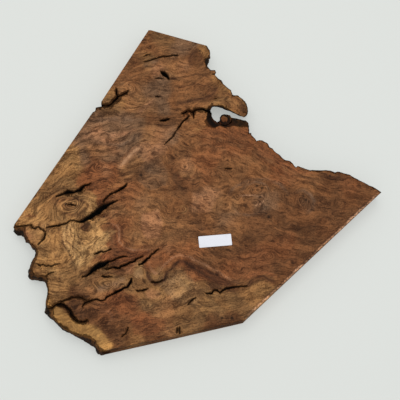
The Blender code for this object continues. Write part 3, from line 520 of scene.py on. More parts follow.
# Hairline cracks in the top face: name, and course in the picture with the width at each place in pixels
HAIRLINES = [
    ("upper_hairline", [(144, 56.2, 0.4), (146.5, 54.9, 0.9), (150, 54.3, 0.4)]),
    ("slanting_tail", [(178.8, 127, 0.9), (173, 136.5, 0.7), (168, 141, 0.6), (164.3, 144.6, 0.3)]),
    ("left_pit", [(67.5, 204.6, 0.4), (70.5, 204.3, 1.1), (73, 204.8, 1.0), (75.2, 205.4, 0.4)]),
    ("small_split", [(188, 304.5, 0.5), (190.3, 301.7, 1.0), (193.2, 299, 1.1), (195.8, 297.6, 0.5)]),
    ("centre_dash", [(225.2, 168.6, 0.4), (228.5, 168.2, 0.9), (231.8, 168.6, 0.4)]),
    ("left_dash", [(155.5, 96.5, 0.4), (157.5, 96.1, 0.8), (159.6, 96.4, 0.4)]),
    ("upper_dash", [(155, 78.5, 0.4), (159, 78.1, 0.9), (163, 78.5, 0.4)]),
    ("left_pin", [(177, 327.5, 0.5), (177.2, 330.5, 0.9), (176.8, 333.5, 0.5)]),
    ("right_pin", [(179.7, 327.5, 0.5), (179.4, 330.5, 0.9), (179.7, 333.5, 0.5)]),
    ("corner_mark", [(128, 327.8, 0.4), (126.3, 332.8, 0.7), (122, 336.4, 0.4)]),
    ("tip_hairline", [(37, 264, 0.3), (40, 265.4, 0.6), (43, 264.2, 0.6), (46, 266.2, 0.6), (49, 265.2, 0.5),
                      (51, 266.6, 0.6), (55, 264.2, 0.5), (60, 263.8, 0.3)]),
    ("lobe_hairline", [(46, 276, 0.3), (48.5, 273.6, 0.6), (53.5, 272, 0.3)]),
    ("middle_fissure", [(151.5, 282, 0.5), (157, 282.5, 1.1), (160.5, 281.4, 1.0), (162.5, 279.8, 0.5)]),
]
HAIRLINE_DEPTH = 0.0028
HAIRLINE_RISE = 0.0005          # how far a cutter stands above the top face, in metres
HAIRLINE_WAVER = (0.8, 1.2)     # range of its width, against the one in the list

# Courses that the figure follows, each with its height across the figure, in pixels of the picture
FIGURE_GUIDES = [
    (0, [(100, 352), (130, 345), (160, 338), (200, 329), (244, 318)]),
    (20, [(80, 332), (110, 326), (140, 320), (170, 315), (205, 308), (250, 300)]),
    (40, [(60, 306), (86, 302), (104, 300), (120, 292), (131, 280)]),
    (40, [(150, 300), (170, 292), (190, 288), (220, 291), (252, 284), (280, 276)]),
    (52, [(143, 268), (147, 278), (155, 283), (166, 275), (174, 265), (183, 260), (204, 268), (229, 282),
          (245, 283), (281, 272)]),
    (64, [(46, 280), (82, 277), (100, 265), (127, 256), (157, 250), (185, 246), (215, 254), (250, 262),
          (290, 262)]),
    (90, [(60, 262), (66, 246), (62, 236), (66, 226), (80, 222), (94, 214), (112, 203), (140, 210),
          (170, 222), (200, 228), (250, 236), (305, 245)]),
    (112, [(30, 222), (50, 203), (68, 192), (91, 183), (112, 186), (126, 184), (150, 186), (180, 190),
           (220, 196), (270, 212), (330, 218)]),
    (136, [(50, 180), (75, 165), (100, 160), (124, 160), (140, 147), (160, 148), (190, 158), (240, 170),
           (300, 192), (350, 200)]),
    (156, [(85, 140), (100, 137), (120, 138), (136, 128), (160, 130), (185, 132), (225, 142), (260, 155),
           (300, 175), (350, 186)]),
    (176, [(95, 118), (130, 119), (160, 118), (185, 112), (207, 112), (240, 128), (262, 142), (300, 167),
           (350, 176)]),
    (198, [(108, 100), (120, 103), (140, 106), (160, 104), (190, 101), (206, 98), (214, 93), (219, 84)]),
    (222, [(120, 84), (140, 80), (160, 82), (185, 80), (204, 76), (212, 70)]),
    (246, [(130, 66), (144, 62), (160, 57), (178, 56), (190, 62), (196, 54), (204, 46)]),
    (268, [(145, 40), (165, 42), (190, 46)]),
]
FIGURE_UNIT = 100        # millimetres to one unit of the surface that is bent through them
FIGURE_SOFTNESS = 0.02   # how loosely it follows them
POINTS_AT_ONCE = 20000   # so that the sums fit in memory

# Label, in metres, with the parts that its two ways are cut into
LABEL_HALF_LENGTH = 0.019
LABEL_HALF_WIDTH = 0.00665
LABEL_TURN = math.radians(4.7)
LABEL_PARTS = (26, 10)
CURL_START = 0.75        # the label's ends curl up from this share of its half length
CURL_BETWEEN_CORNERS = 0.3
PAPER_DULLNESS = 0.88    # how bright the smudges are, against clean paper

# Stage, in metres, and its lights: name, place, size, power in watts and colour
FLOOR_SIZE = 6.0
SENSOR_WIDTH = 36.0      # of the camera, in millimetres
ROOM_COLOUR = (0.97, 0.99, 1.0)
ROOM_LIGHT = 0.65
LIGHTS = [
    ("key", (-0.14, 0.2, 1.45), (1.2, 1.1), 8.0, (1.0, 0.995, 0.98)),
    ("fill", (0.9, -0.3, 1.6), (1.2, 1.2), 2.5, (1.0, 1.0, 1.0)),
]

# Noise on plan: the side of its table of random values, and how far the table is shifted
NOISE_CELLS = 128
NOISE_SHIFT = 61.0


class WalnutSlabSettings(PropertyGroup):
    top_spacing: FloatProperty(
        name="Top spacing", description="Spacing of points over the top face",
        default=0.00145, min=0.0005, unit='LENGTH')
    under_spacing: FloatProperty(
        name="Underside spacing", description="Spacing of points over the underside",
        default=0.0045, min=0.001, unit='LENGTH')
    live_spacing: FloatProperty(
        name="Live edge spacing", description="Longest edge of a face on a live edge or in a crack",
        default=0.0026, min=0.0005, unit='LENGTH')
    sawn_spacing: FloatProperty(
        name="Sawn side spacing", description="Longest edge of a face on a sawn side",
        default=0.006, min=0.0005, unit='LENGTH')
    bark_roughness: FloatProperty(
        name="Bark roughness", description="How far the bark of a live edge stands in and out",
        default=0.0009, min=0.0, unit='LENGTH')
    crack_roughness: FloatProperty(
        name="Crack roughness", description="How ragged the walls of the cracks are",
        default=0.0006, min=0.0, unit='LENGTH')
    arris_wear: FloatProperty(
        name="Worn arris", description="How far the sharp edge round each face is worn down",
        default=0.00025, min=0.0, unit='LENGTH')
    seed: IntProperty(name="Seed", description="Start of every random draw", default=7)


class PaperLabelSettings(PropertyGroup):
    colour: FloatVectorProperty(
        name="Paper", description="Colour of the blank label",
        default=daylight(231, 231, 238), size=3, subtype='COLOR', min=0.0, max=1.0)
    lift: FloatProperty(
        name="Corner lift", description="How far the label's corners curl up",
        default=0.00035, min=0.0, unit='LENGTH')


class SlabStageSettings(PropertyGroup):
    camera_place: FloatVectorProperty(
        name="Camera place", description="Where the camera stands",
        default=(-0.0472, -0.2387, 0.7894), size=3, subtype='XYZ', unit='LENGTH')
    camera_aim: FloatVectorProperty(
        name="Camera aim", description="The point in the middle of the picture",
        default=(-0.0005, -0.0232, 0.025), size=3, subtype='XYZ', unit='LENGTH')
    focal_share: FloatProperty(
        name="Focal share", description="The lens's focal length, against the picture's width", default=1.7)
    floor_colour: FloatVectorProperty(
        name="Floor", description="Colour of the plain floor, which is lit from below like a light table",
        default=daylight(165, 167, 164), size=3, subtype='COLOR', min=0.0, max=1.0)
    floor_glow: FloatProperty(
        name="Floor glow", description="Strength of the light that comes up through the floor",
        default=0.98, min=0.0)


def settings(name):
    """One of the groups of values that the panel shows."""
    return getattr(bpy.context.scene, name)


def camera_axes():
    """The camera's place and its right, up and backward axes, with the picture's up along +Y."""
    stage = settings("slab_stage")
    place = Vector(stage.camera_place)
    forward = (Vector(stage.camera_aim) - place).normalized()
    up = Vector((1, 0, 0)).cross(forward).normalized()
    right = forward.cross(up).normalized()
    return place, right, up, -forward


def on_top(points):
    """Plan millimetres on the top face of places in the picture."""
    place, right, up, back = camera_axes()
    focal = settings("slab_stage").focal_share * PICTURE_SIDE
    points = np.asarray(points, float)
    across = points[:, 0] - PICTURE_SIDE / 2
    rise = PICTURE_SIDE / 2 - points[:, 1]
    rays = np.outer(across, right) + np.outer(rise, up) - focal * np.asarray(back)
    reach = (TOP - place.z) / rays[:, 2]
    return (np.asarray(place)[:2] + rays[:, :2] * reach[:, None]) / MM


def picture_scale():
    """Millimetres on the top face for one pixel in the middle of the picture."""
    middle = PICTURE_SIDE / 2
    pair = on_top([(middle, middle), (middle + 1, middle)])
    return float(np.linalg.norm(pair[1] - pair[0]))


def linear_tone(name):
    """A tone's colour in the shader's linear values."""
    return daylight(*TONES[name])


def gap_to(x, y, place):
    """Distance from each plan point to a place in the picture, in millimetres."""
    centre = on_top([place])[0]
    return np.hypot(x - centre[0], y - centre[1])


def faded(gap, reach, power=4):
    """1 where the gap is none, falling to 0 past its reach."""
    return np.exp(-(gap / reach) ** power)


def near_box(x, y, course, margin):
    """The numbers of the plan points in the box round a course."""
    low, high = course.min(axis=0) - margin, course.max(axis=0) + margin
    return np.nonzero((x > low[0]) & (x < high[0]) & (y > low[1]) & (y < high[1]))[0]


def select_only(*things):
    """Select these objects alone, the first of them active."""
    bpy.ops.object.select_all(action='DESELECT')
    for thing in things:
        thing.select_set(True)
    bpy.context.view_layer.objects.active = things[0]


def lattice_noise(x, y, cell, seed):
    """Smooth noise from -1 to 1 at plan points, one random value to each cell."""
    table = np.random.default_rng(seed).uniform(-1, 1, (NOISE_CELLS, NOISE_CELLS))
    column, row = x / cell + NOISE_SHIFT, y / cell + NOISE_SHIFT
    low_column, low_row = np.floor(column).astype(int), np.floor(row).astype(int)
    across, along = column - low_column, row - low_row
    across = across * across * (3 - 2 * across)
    along = along * along * (3 - 2 * along)

    def corner(step_column, step_row):
        return table[(low_column + step_column) % NOISE_CELLS, (low_row + step_row) % NOISE_CELLS]

    near = corner(0, 0) * (1 - across) + corner(1, 0) * across
    far = corner(0, 1) * (1 - across) + corner(1, 1) * across
    return near * (1 - along) + far * along


def cloud(x, y, cell, seed, octaves=3):
    """Lattice noise with finer and fainter copies on top."""
    total = np.zeros_like(x)
    for octave in range(octaves):
        total += lattice_noise(x, y, cell / 2 ** octave, seed + octave) / 2 ** octave
    return total


def warped(x, y, layers):
    """Plan points moved about by layers of noise."""
    warp_x, warp_y = x, y
    for reach, cell, seed_across, seed_up, octaves in layers:
        warp_x = warp_x + reach * cloud(x, y, cell, seed_across, octaves)
        warp_y = warp_y + reach * cloud(x, y, cell, seed_up, octaves)
    return warp_x, warp_y


def nearest_on_course(x, y, course):
    """Distance from each plan point to a course, and how far along it the nearest place is, 0 to 1."""
    lengths = np.linalg.norm(np.diff(course, axis=0), axis=1)
    starts = np.concatenate([[0], np.cumsum(lengths)[:-1]])
    best = np.full(len(x), 1e9)
    along = np.zeros(len(x))
    for start, end, length, before in zip(course[:-1], course[1:], lengths, starts):
        run = (end - start) / length
        reach = np.clip((x - start[0]) * run[0] + (y - start[1]) * run[1], 0, length)
        gap = np.hypot(x - start[0] - run[0] * reach, y - start[1] - run[1] * reach)
        closer = gap < best
        best = np.where(closer, gap, best)
        along = np.where(closer, before + reach, along)
    return best, along / lengths.sum()


def figure_height(x, y):
    """Height across the wood's figure, whose level lines the grain follows, in millimetres."""
    scale = picture_scale()
    places, heights = [], []
    for height, course in FIGURE_GUIDES:
        places.append(on_top(course))
        heights += [height * scale] * len(course)
    places = np.concatenate(places)
    heights = np.array(heights, float)

    def bend(gap):
        return gap * gap * np.log(gap + 1e-9)

    count = len(places)
    gaps = np.linalg.norm(places[:, None] - places[None], axis=2) / FIGURE_UNIT
    flat = np.column_stack([np.ones(count), places / FIGURE_UNIT])
    system = np.zeros((count + 3, count + 3))
    system[:count, :count] = bend(gaps) + FIGURE_SOFTNESS * np.eye(count)
    system[:count, count:] = flat
    system[count:, :count] = flat.T
    weights = np.linalg.solve(system, np.concatenate([heights, np.zeros(3)]))
    result = np.zeros(len(x))
    for first in range(0, len(x), POINTS_AT_ONCE):
        part = slice(first, first + POINTS_AT_ONCE)
        spread = np.hypot(x[part, None] - places[None, :, 0], y[part, None] - places[None, :, 1])
        result[part] = bend(spread / FIGURE_UNIT) @ weights[:count] + weights[count]
        result[part] += (x[part] * weights[count + 1] + y[part] * weights[count + 2]) / FIGURE_UNIT
    for eye in EYES:
        distance, share = eye_share(x, y, eye)
        at_centre = result[np.argmin(gap_to(x, y, eye[:2]))]
        rings = at_centre + EYE_RISE - RING_SLOPE * distance
        mix = np.clip(EYE_FORCE * eye[-1] * share, 0, 1)
        result = result * (1 - mix) + rings * mix
    return result


def eye_share(x, y, eye):
    """Distance from a burl eye's centre, drawn out to its oval, and its share, 0 past its reach."""
    px, py, reach_x, reach_y, turn, _ = eye
    scale = picture_scale()
    centre = on_top([(px, py)])[0]
    wide, high = reach_x * scale, reach_y * scale
    angle = math.radians(turn)
    dx, dy = x - centre[0], y - centre[1]
    u = (dx * math.cos(angle) + dy * math.sin(angle)) / wide
    v = (dy * math.cos(angle) - dx * math.sin(angle)) / high
    reach = np.hypot(u, v)
    share = np.clip(EYE_FADE - reach, 0, 1)
    return reach * math.sqrt(wide * high), share * share * (3 - 2 * share)


def eye_mask(x, y):
    """How much each plan point belongs to a burl eye, and to one of the small dark specks."""
    scale = picture_scale()
    mask = np.zeros(len(x))
    for eye in EYES:
        _, share = eye_share(x, y, eye)
        mask = np.maximum(mask, eye[-1] * share)
    heart = np.zeros(len(x))
    for px, py, reach in SPECKS:
        heart = np.maximum(heart, faded(gap_to(x, y, (px, py)), reach * scale))
    return mask, heart


def tone_field(x, y):
    """The blended tone at each plan point, as linear colours."""
    scale = picture_scale()
    weight = np.full(len(x), 1e-4)
    common = linear_tone("walnut")
    total = weight[:, None] * common
    for tone, patches in TONE_PATCHES.items():
        colour = linear_tone(tone)
        centres = on_top([(px, py) for px, py, _ in patches])
        for centre, (_, _, reach) in zip(centres, patches):
            radius = reach * scale
            gap = (x - centre[0]) ** 2 + (y - centre[1]) ** 2
            share = np.exp(-PATCH_SHARPNESS * gap / radius ** 2)
            total += share[:, None] * colour
            weight += share
    own = total / weight[:, None]
    return (own + (common - own) * COMMON_TONE) * np.array(TONE_BALANCE)


def lay_regions(x, y, tones):
    """Lay the patches of one tone over the blended tones."""
    for tone, strength, outline in REGIONS:
        colour = np.array(TONE_BALANCE) * linear_tone(tone)
        outline = on_top(outline + outline[:1])
        near = near_box(x, y, outline, REGION_MARGIN)
        gap, _ = nearest_on_course(x[near], y[near], outline)
        crossings = np.zeros(len(near), int)
        for (ax, ay), (bx, by) in zip(outline[:-1], outline[1:]):
            spans = (ay > y[near]) != (by > y[near])
            crossing = ax + (y[near] - ay) / (by - ay + 1e-12) * (bx - ax)
            crossings += spans & (x[near] < crossing)
        gap = np.where(crossings % 2 == 1, gap, -gap)
        share = strength / (1 + np.exp(-gap / (REGION_EDGE / 3)))
        tones[near] = tones[near] * (1 - share[:, None]) + colour * share[:, None]
    return tones


def lay_streaks(x, y, tones):
    """Lay the lines and streaks over the tones, tapered at their tips and fainter here and there."""
    scale = picture_scale()
    for number, (tone, half_width, strength, course) in enumerate(STREAKS):
        course = on_top(course)
        near = near_box(x, y, course, STREAK_REACH * half_width * scale)
        if not len(near):
            continue
        gap, along = nearest_on_course(x[near], y[near], course)
        ends = np.clip(np.minimum(along, 1 - along) * STREAK_TAPER + STREAK_TIP, 0, 1)
        patchy = 0.8 + 0.5 * lattice_noise(x[near], y[near], STREAK_CELL, STREAK_SEED + number)
        share = STREAK_FORCE * strength * faded(gap, half_width * scale, 2)
        share = np.clip(share * ends * np.clip(patchy, 0, 1.2), 0, 1)[:, None]
        tones[near] = tones[near] * (1 - share) + share * linear_tone(tone)
    return tones


def lay_sapwood(x, y, tones):
    """Lay the pale strip of sapwood over the tones."""
    gap, along = nearest_on_course(x, y, on_top(SAPWOOD_STRIP))
    first, last = SAPWOOD_WIDTH
    width = (first + (last - first) * along) * picture_scale()
    width += SAPWOOD_WAVER * cloud(x, y, SAPWOOD_WAVER_CELL, 80)
    share = SAPWOOD_SHARE / (1 + np.exp((gap - width) / SAPWOOD_EDGE))[:, None]
    return tones * (1 - share) + share * linear_tone("sapwood")


def plain_material(name):
    """A new material, with its node tree and its shader."""
    material = bpy.data.materials.new(name)
    material.use_nodes = True
    return material, material.node_tree, material.node_tree.nodes["Principled BSDF"]


def add_node(tree, kind, **values):
    """A new node with its own values, and with the values of its sockets, which are given after in_."""
    node = tree.nodes.new(kind)
    for name, value in values.items():
        if name.startswith("in_"):
            key = name[3:]
            socket = node.inputs[int(key)] if key.isdigit() else node.inputs[key.replace("_", " ")]
            socket.default_value = value
        else:
            setattr(node, name, value)
    return node


def math_node(tree, operation, first, second=None, third=None, clamp=False):
    """The result of a sum on numbers and sockets."""
    node = tree.nodes.new("ShaderNodeMath")
    node.operation = operation
    node.use_clamp = clamp
    for socket, value in zip(node.inputs, (first, second, third)):
        if value is None:
            continue
        if isinstance(value, (int, float)):
            socket.default_value = value
        else:
            tree.links.new(value, socket)
    return node.outputs[0]


def mix_node(tree, factor, first, second, blend='MIX'):
    """Two colours mixed, each a socket or a plain colour."""
    node = tree.nodes.new("ShaderNodeMix")
    node.data_type = 'RGBA'
    node.blend_type = blend
    node.clamp_factor = True
    for socket, value in ((node.inputs[0], factor), (node.inputs[6], first), (node.inputs[7], second)):
        if isinstance(value, (int, float)):
            socket.default_value = value
        elif isinstance(value, tuple):
            socket.default_value = (*value, 1.0) if len(value) == 3 else value
        else:
            tree.links.new(value, socket)
    return node.outputs[2]


def ramp(tree, value, low, high):
    """Value from 0 at low to 1 at high, smoothly."""
    node = tree.nodes.new("ShaderNodeMapRange")
    node.interpolation_type = 'SMOOTHSTEP'
    node.inputs["From Min"].default_value = low
    node.inputs["From Max"].default_value = high
    tree.links.new(value, node.inputs["Value"])
    return node.outputs["Result"]


def attribute(tree, name, output="Fac"):
    """A value that the mesh carries at each point, or a colour."""
    return add_node(tree, "ShaderNodeAttribute", attribute_name=name).outputs[output]


def object_place(tree):
    """Where a point lies on the object, in metres."""
    return tree.nodes.new("ShaderNodeTexCoord").outputs["Object"]


def parts_of(tree, place):
    """The three parts of a place."""
    split = tree.nodes.new("ShaderNodeSeparateXYZ")
    tree.links.new(place, split.inputs[0])
    return split.outputs


def noise_at(tree, place, scale, detail, roughness=0.5):
    """Noise from 0 to 1 at a place."""
    noise = add_node(tree, "ShaderNodeTexNoise", in_Scale=scale, in_Detail=detail, in_Roughness=roughness)
    tree.links.new(place, noise.inputs["Vector"])
    return noise.outputs[0]


def shaded(tree, tone, shade):
    """A tone multiplied by one of the shades."""
    return mix_node(tree, 1.0, tone, SHADES[shade], 'MULTIPLY')


def laid_over(tree, colour, other, mask, strength):
    """A colour with another one laid over it where a mask says so."""
    return mix_node(tree, math_node(tree, 'MULTIPLY', mask, strength, clamp=True), colour, other)


def add_bump(tree, shader, height, strength, distance):
    """Tilt the shader's surface by a height."""
    bump = add_node(tree, "ShaderNodeBump", in_Strength=strength, in_Distance=distance)
    tree.links.new(height, bump.inputs["Height"])
    tree.links.new(bump.outputs[0], shader.inputs["Normal"])


def new_group(name, inputs, output):
    """A node group that takes values and puts out one, with the nodes that lead into it and out of it."""
    tree = bpy.data.node_groups.new(name, "ShaderNodeTree")
    for label in inputs:
        tree.interface.new_socket(label, in_out='INPUT', socket_type='NodeSocketFloat')
    tree.interface.new_socket(output, in_out='OUTPUT', socket_type='NodeSocketFloat')
    return tree, tree.nodes.new("NodeGroupInput"), tree.nodes.new("NodeGroupOutput")


def use_group(tree, group, first, *values):
    """What a node group makes of a socket and of plain values for its other inputs."""
    node = tree.nodes.new("ShaderNodeGroup")
    node.node_tree = group
    tree.links.new(first, node.inputs[0])
    for number, value in enumerate(values, 1):
        node.inputs[number].default_value = value
    return node.outputs[0]


def figure_group():
    """The Figure height with curls and eddies added, so that its level lines wander as in burl."""
    tree, inward, outward = new_group("Curled figure", ("Figure", "Wide curl", "Small curl"), "Curled")
    place = object_place(tree)
    total = inward.outputs["Figure"]
    for scale, socket in ((42.0, "Wide curl"), (125.0, "Small curl")):
        swing = math_node(tree, 'SUBTRACT', noise_at(tree, place, scale, 1.0, 0.4), 0.5)
        total = math_node(tree, 'MULTIPLY_ADD', swing, inward.outputs[socket], total)
    tree.links.new(total, outward.inputs["Curled"])
    return tree


def grain_group():
    """Grain of figured wood: noise drawn out along the level lines of a height."""
    tree, inward, outward = new_group("Figured grain", ("Height", "Across", "Along", "Detail"), "Grain")
    part_x, part_y, part_z = parts_of(tree, object_place(tree))
    slanted = math_node(tree, 'ADD', part_y, part_z)
    join = tree.nodes.new("ShaderNodeCombineXYZ")
    for number, (value, stretch) in enumerate(((inward.outputs["Height"], "Across"), (part_x, "Along"),
                                               (slanted, "Along"))):
        stretched = math_node(tree, 'MULTIPLY', value, inward.outputs[stretch])
        tree.links.new(stretched, join.inputs[number])
    noise = add_node(tree, "ShaderNodeTexNoise", in_Scale=1.0, in_Roughness=0.6)
    tree.links.new(join.outputs[0], noise.inputs["Vector"])
    tree.links.new(inward.outputs["Detail"], noise.inputs["Detail"])
    tree.links.new(noise.outputs[0], outward.inputs["Grain"])
    return tree


def face_material(grain_tree, figure_tree):
    """Sawn and sanded burl: its tones, with lines, rings, flecks and stains laid over them, and painted
    shade beside the cracks and on the foot of the lower sawn sides.
    """
    material, tree, shader = plain_material("walnut burl face")
    tone = attribute(tree, "tone", "Color")
    stain = attribute(tree, "rim_stain")
    place = object_place(tree)
    figure = attribute(tree, "figure")
    courses = {name: use_group(tree, figure_tree, figure, *curls) for name, curls in CURLS.items()}
    patterns = {name: noise_at(tree, place, *values) for name, values in SPECKLES.items()}
    for name, (course, *values) in GRAINS.items():
        patterns[name] = use_group(tree, grain_tree, courses[course], *values)
    turns = math_node(tree, 'MULTIPLY', courses["calm"], 2 * math.pi / RING_PERIOD)
    patterns["rings"] = math_node(tree, 'SINE', turns)
    shades = {name: shaded(tree, tone, name) for name in ("dark", "deep", "light", "ruddy")}
    limits = {"contour": ramp(tree, patterns["lined_places"], 0.40, 0.62), "rings": attribute(tree, "burl")}
    force = math_node(tree, 'MULTIPLY_ADD', attribute(tree, "vivid"), VIVID_FORCE, LINE_FORCE)

    colour = tone
    for name, shade, start, full, strength, stronger in FACE_LAYERS:
        mask = ramp(tree, patterns[name], start, full)
        if name in limits:
            mask = math_node(tree, 'MULTIPLY', mask, limits[name])
        if stronger:
            mask = math_node(tree, 'MULTIPLY', mask, force)
        colour = laid_over(tree, colour, shades[shade], mask, strength)

    flecks = ramp(tree, patterns["flecks"], 0.64, 0.72)
    ragged = math_node(tree, 'MULTIPLY_ADD', patterns["pepper"], 1.4, 0.3)
    ragged = math_node(tree, 'MULTIPLY', stain, ragged)
    for other, mask, strength in (
            (linear_tone("dark_line"), flecks, 0.7),
            (tone, attribute(tree, "plain"), 0.85),
            (linear_tone("pit"), attribute(tree, "eye_heart"), 0.95),
            # Stain beside live edges, and painted shade beside cracks and on the foot of the lower sawn
            # sides, all in the bark's colour
            (linear_tone("bark"), ramp(tree, ragged, 0.25, 0.75), 0.8)):
        colour = laid_over(tree, colour, other, mask, strength)
    tree.links.new(colour, shader.inputs["Base Color"])

    rough = math_node(tree, 'MULTIPLY_ADD', patterns["fine"], 0.22, 0.55)
    tree.links.new(rough, shader.inputs["Roughness"])
    sheen = math_node(tree, 'MULTIPLY_ADD', stain, -0.18, 0.1, clamp=True)
    tree.links.new(sheen, shader.inputs["Specular IOR Level"])
    relief = math_node(tree, 'ADD', patterns["fine"], math_node(tree, 'MULTIPLY', patterns["middle"], 0.5))
    relief = math_node(tree, 'SUBTRACT', relief, math_node(tree, 'MULTIPLY', flecks, 0.8))
    add_bump(tree, shader, relief, 0.35, 0.0003)
    return material


def bark_material():
    """Dark weathered bark and broken wood of the live edges, with painted shade on the hollow's wall."""
    material, tree, shader = plain_material("bark edge")
    tone = attribute(tree, "tone", "Color")
    place = object_place(tree)
    crust = noise_at(tree, place, 160.0, 6.0, 0.7)
    specks = noise_at(tree, place, 700.0, 3.0)
    # The bark is paler towards the top rim: partly worn bare wood, partly a painted highlight
    high = ramp(tree, parts_of(tree, place)[2], TOP - 0.005, TOP - 0.0005)
    crusted = math_node(tree, 'MULTIPLY_ADD', high, 0.14, crust)
    bark = linear_tone("bark")
    colour = mix_node(tree, ramp(tree, crusted, 0.46, 0.66), bark, shaded(tree, tone, "worn"))
    for other, mask, strength in (
            (shaded(tree, tone, "bare"), ramp(tree, attribute(tree, "bare"), 0.1, 0.7), 0.85),
            # Near black in the hollow: painted shade on its wall, a darker lip and a dark ring round the
            # knob
            (linear_tone("hollow_black"), attribute(tree, "hollow_dark"), 0.95),
            (bark, ramp(tree, specks, 0.55, 0.7), 0.5)):
        colour = laid_over(tree, colour, other, mask, strength)
    tree.links.new(colour, shader.inputs["Base Color"])
    tree.links.new(math_node(tree, 'MULTIPLY_ADD', crust, 0.2, 0.7), shader.inputs["Roughness"])
    shader.inputs["Specular IOR Level"].default_value = 0.08
    height = math_node(tree, 'ADD', crust, math_node(tree, 'MULTIPLY', specks, 0.4))
    add_bump(tree, shader, height, 0.8, 0.0008)
    return material


def crack_material():
    """The walls of a drying crack, painted near black as shade deeper in, paler just under the face."""
    material, tree, shader = plain_material("crack wall")
    place = object_place(tree)
    grit = noise_at(tree, place, 420.0, 4.0)
    height = math_node(tree, 'MULTIPLY_ADD', grit, 0.003, parts_of(tree, place)[2])
    lip = shaded(tree, attribute(tree, "tone", "Color"), "crack_lip")
    # Painted shade: near black deep in the crack, the darkened tone just under the face
    colour = mix_node(tree, ramp(tree, height, TOP - 0.002, TOP + 0.002), linear_tone("crack"), lip)
    tree.links.new(colour, shader.inputs["Base Color"])
    shader.inputs["Roughness"].default_value = 0.9
    shader.inputs["Specular IOR Level"].default_value = 0.1
    return material


def paper_material():
    """Plain white paper, a little smudged."""
    material, tree, shader = plain_material("label paper")
    place = object_place(tree)
    pulp = noise_at(tree, place, 900.0, 5.0, 0.7)
    smudge = noise_at(tree, place, 120.0, 2.0)
    paper = tuple(settings("paper_label").colour)
    dull = tuple(PAPER_DULLNESS * value for value in paper)
    colour = laid_over(tree, paper, dull, ramp(tree, smudge, 0.5, 0.75), 0.5)
    colour = laid_over(tree, colour, dull, ramp(tree, pulp, 0.55, 0.8), 0.25)
    tree.links.new(colour, shader.inputs["Base Color"])
    tree.links.new(math_node(tree, 'MULTIPLY_ADD', pulp, 0.2, 0.6), shader.inputs["Roughness"])
    add_bump(tree, shader, pulp, 0.2, 0.00005)
    return material


def merged_copy(node, name):
    """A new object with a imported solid's mesh, its doubles merged."""
    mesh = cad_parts[node].data.copy()
    mesh.materials.clear()
    copy = bpy.data.objects.new(name, mesh)
    bpy.context.scene.collection.objects.link(copy)
    select_only(copy)
    bpy.ops.object.mode_set(mode='EDIT')
    bpy.ops.mesh.select_all(action='SELECT')
    bpy.ops.mesh.remove_doubles(threshold=MERGE_DISTANCE)
    bpy.ops.object.mode_set(mode='OBJECT')
    return copy


def hairline_mesh(name, course, noise):
    """A closed ragged wedge along a hairline crack, from above the top face down to its bottom."""
    mesh = bmesh.new()
    scale = picture_scale()
    places = [Vector(place) for place in on_top([point[:2] for point in course])]
    rows = []
    for index, place in enumerate(places):
        run = places[min(index + 1, len(places) - 1)] - places[max(index - 1, 0)]
        across = Vector((-run.y, run.x)).normalized()
        half = course[index][2] * scale / 2 * noise.uniform(*HAIRLINE_WAVER)
        left, right = place + across * half, place - across * half
        top = TOP + HAIRLINE_RISE
        rows.append([mesh.verts.new((left.x * MM, left.y * MM, top)),
                     mesh.verts.new((right.x * MM, right.y * MM, top)),
                     mesh.verts.new((place.x * MM, place.y * MM, TOP - HAIRLINE_DEPTH))])
    for first, second in zip(rows, rows[1:]):
        for a, b in ((0, 1), (1, 2), (2, 0)):
            mesh.faces.new((first[a], first[b], second[b], second[a]))
    mesh.faces.new(rows[0])
    mesh.faces.new(rows[-1])
    bmesh.ops.triangulate(mesh, faces=mesh.faces)
    bmesh.ops.recalc_face_normals(mesh, faces=mesh.faces)
    data = bpy.data.meshes.new(name)
    mesh.to_mesh(data)
    mesh.free()
    cutter = bpy.data.objects.new(name, data)
    bpy.context.scene.collection.objects.link(cutter)
    return cutter


def cut_hairlines(piece, seed):
    """Cut the hairline cracks out of the slab."""
    noise = np.random.default_rng(seed)
    for name, course in HAIRLINES:
        cutter = hairline_mesh(name, course, noise)
        select_only(piece)
        modifier = piece.modifiers.new(name, 'BOOLEAN')
        modifier.operation = 'DIFFERENCE'
        modifier.solver = 'EXACT'
        modifier.object = cutter
        bpy.ops.object.modifier_apply(modifier=name)
        bpy.data.objects.remove(cutter, do_unlink=True)


def on_sawn_side(point):
    """Whether a plan point in metres lies on one of the sawn sides."""
    x, y = point.x / MM, point.y / MM
    for (ax, ay), (bx, by) in SAWN_SIDES:
        length = math.hypot(bx - ax, by - ay)
        run_x, run_y = (bx - ax) / length, (by - ay) / length
        along = (x - ax) * run_x + (y - ay) * run_y
        out = (x - ax) * run_y - (y - ay) * run_x
        if -SAWN_OVERRUN < along < length + SAWN_OVERRUN and -SAWN_INSET < out < SAWN_LEAN:
            return True
    return False


def cut_off_caps(mesh):
    """Cut the mesh into triangles and delete the flat ones, which are laid again more finely."""
    bmesh.ops.triangulate(mesh, faces=mesh.faces)
    caps = []
    for face in mesh.faces:
        heights = [vert.co.z for vert in face.verts]
        if min(heights) > TOP - LEVEL_TOLERANCE or max(heights) < LEVEL_TOLERANCE:
            caps.append(face)
    bmesh.ops.delete(mesh, geom=caps, context='FACES')
    loose = [vert for vert in mesh.verts if not vert.link_faces]
    bmesh.ops.delete(mesh, geom=loose, context='VERTS')


def halve(edge):
    """Split an edge in the middle, and the triangles beside it from there to their far corners."""
    ends = tuple(edge.verts)
    middle = bmesh.utils.edge_split(edge, ends[0], 0.5)[1]
    for face in list(middle.link_faces):
        far = next(vert for vert in face.verts if vert != middle and vert not in ends)
        bmesh.utils.face_split(face, middle, far)


def refine_sides(mesh, slab):
    """Halve the long edges of the sides, longest first, until none is longer than its spacing."""
    while True:
        long_edges = []
        for edge in mesh.edges:
            length = edge.calc_length()
            if length < slab.live_spacing:
                continue
            middle = (edge.verts[0].co + edge.verts[1].co) / 2
            if length > slab.sawn_spacing or not on_sawn_side(middle):
                long_edges.append((length, edge))
        if not long_edges:
            break
        long_edges.sort(key=lambda pair: -pair[0])
        for _, edge in long_edges:
            halve(edge)


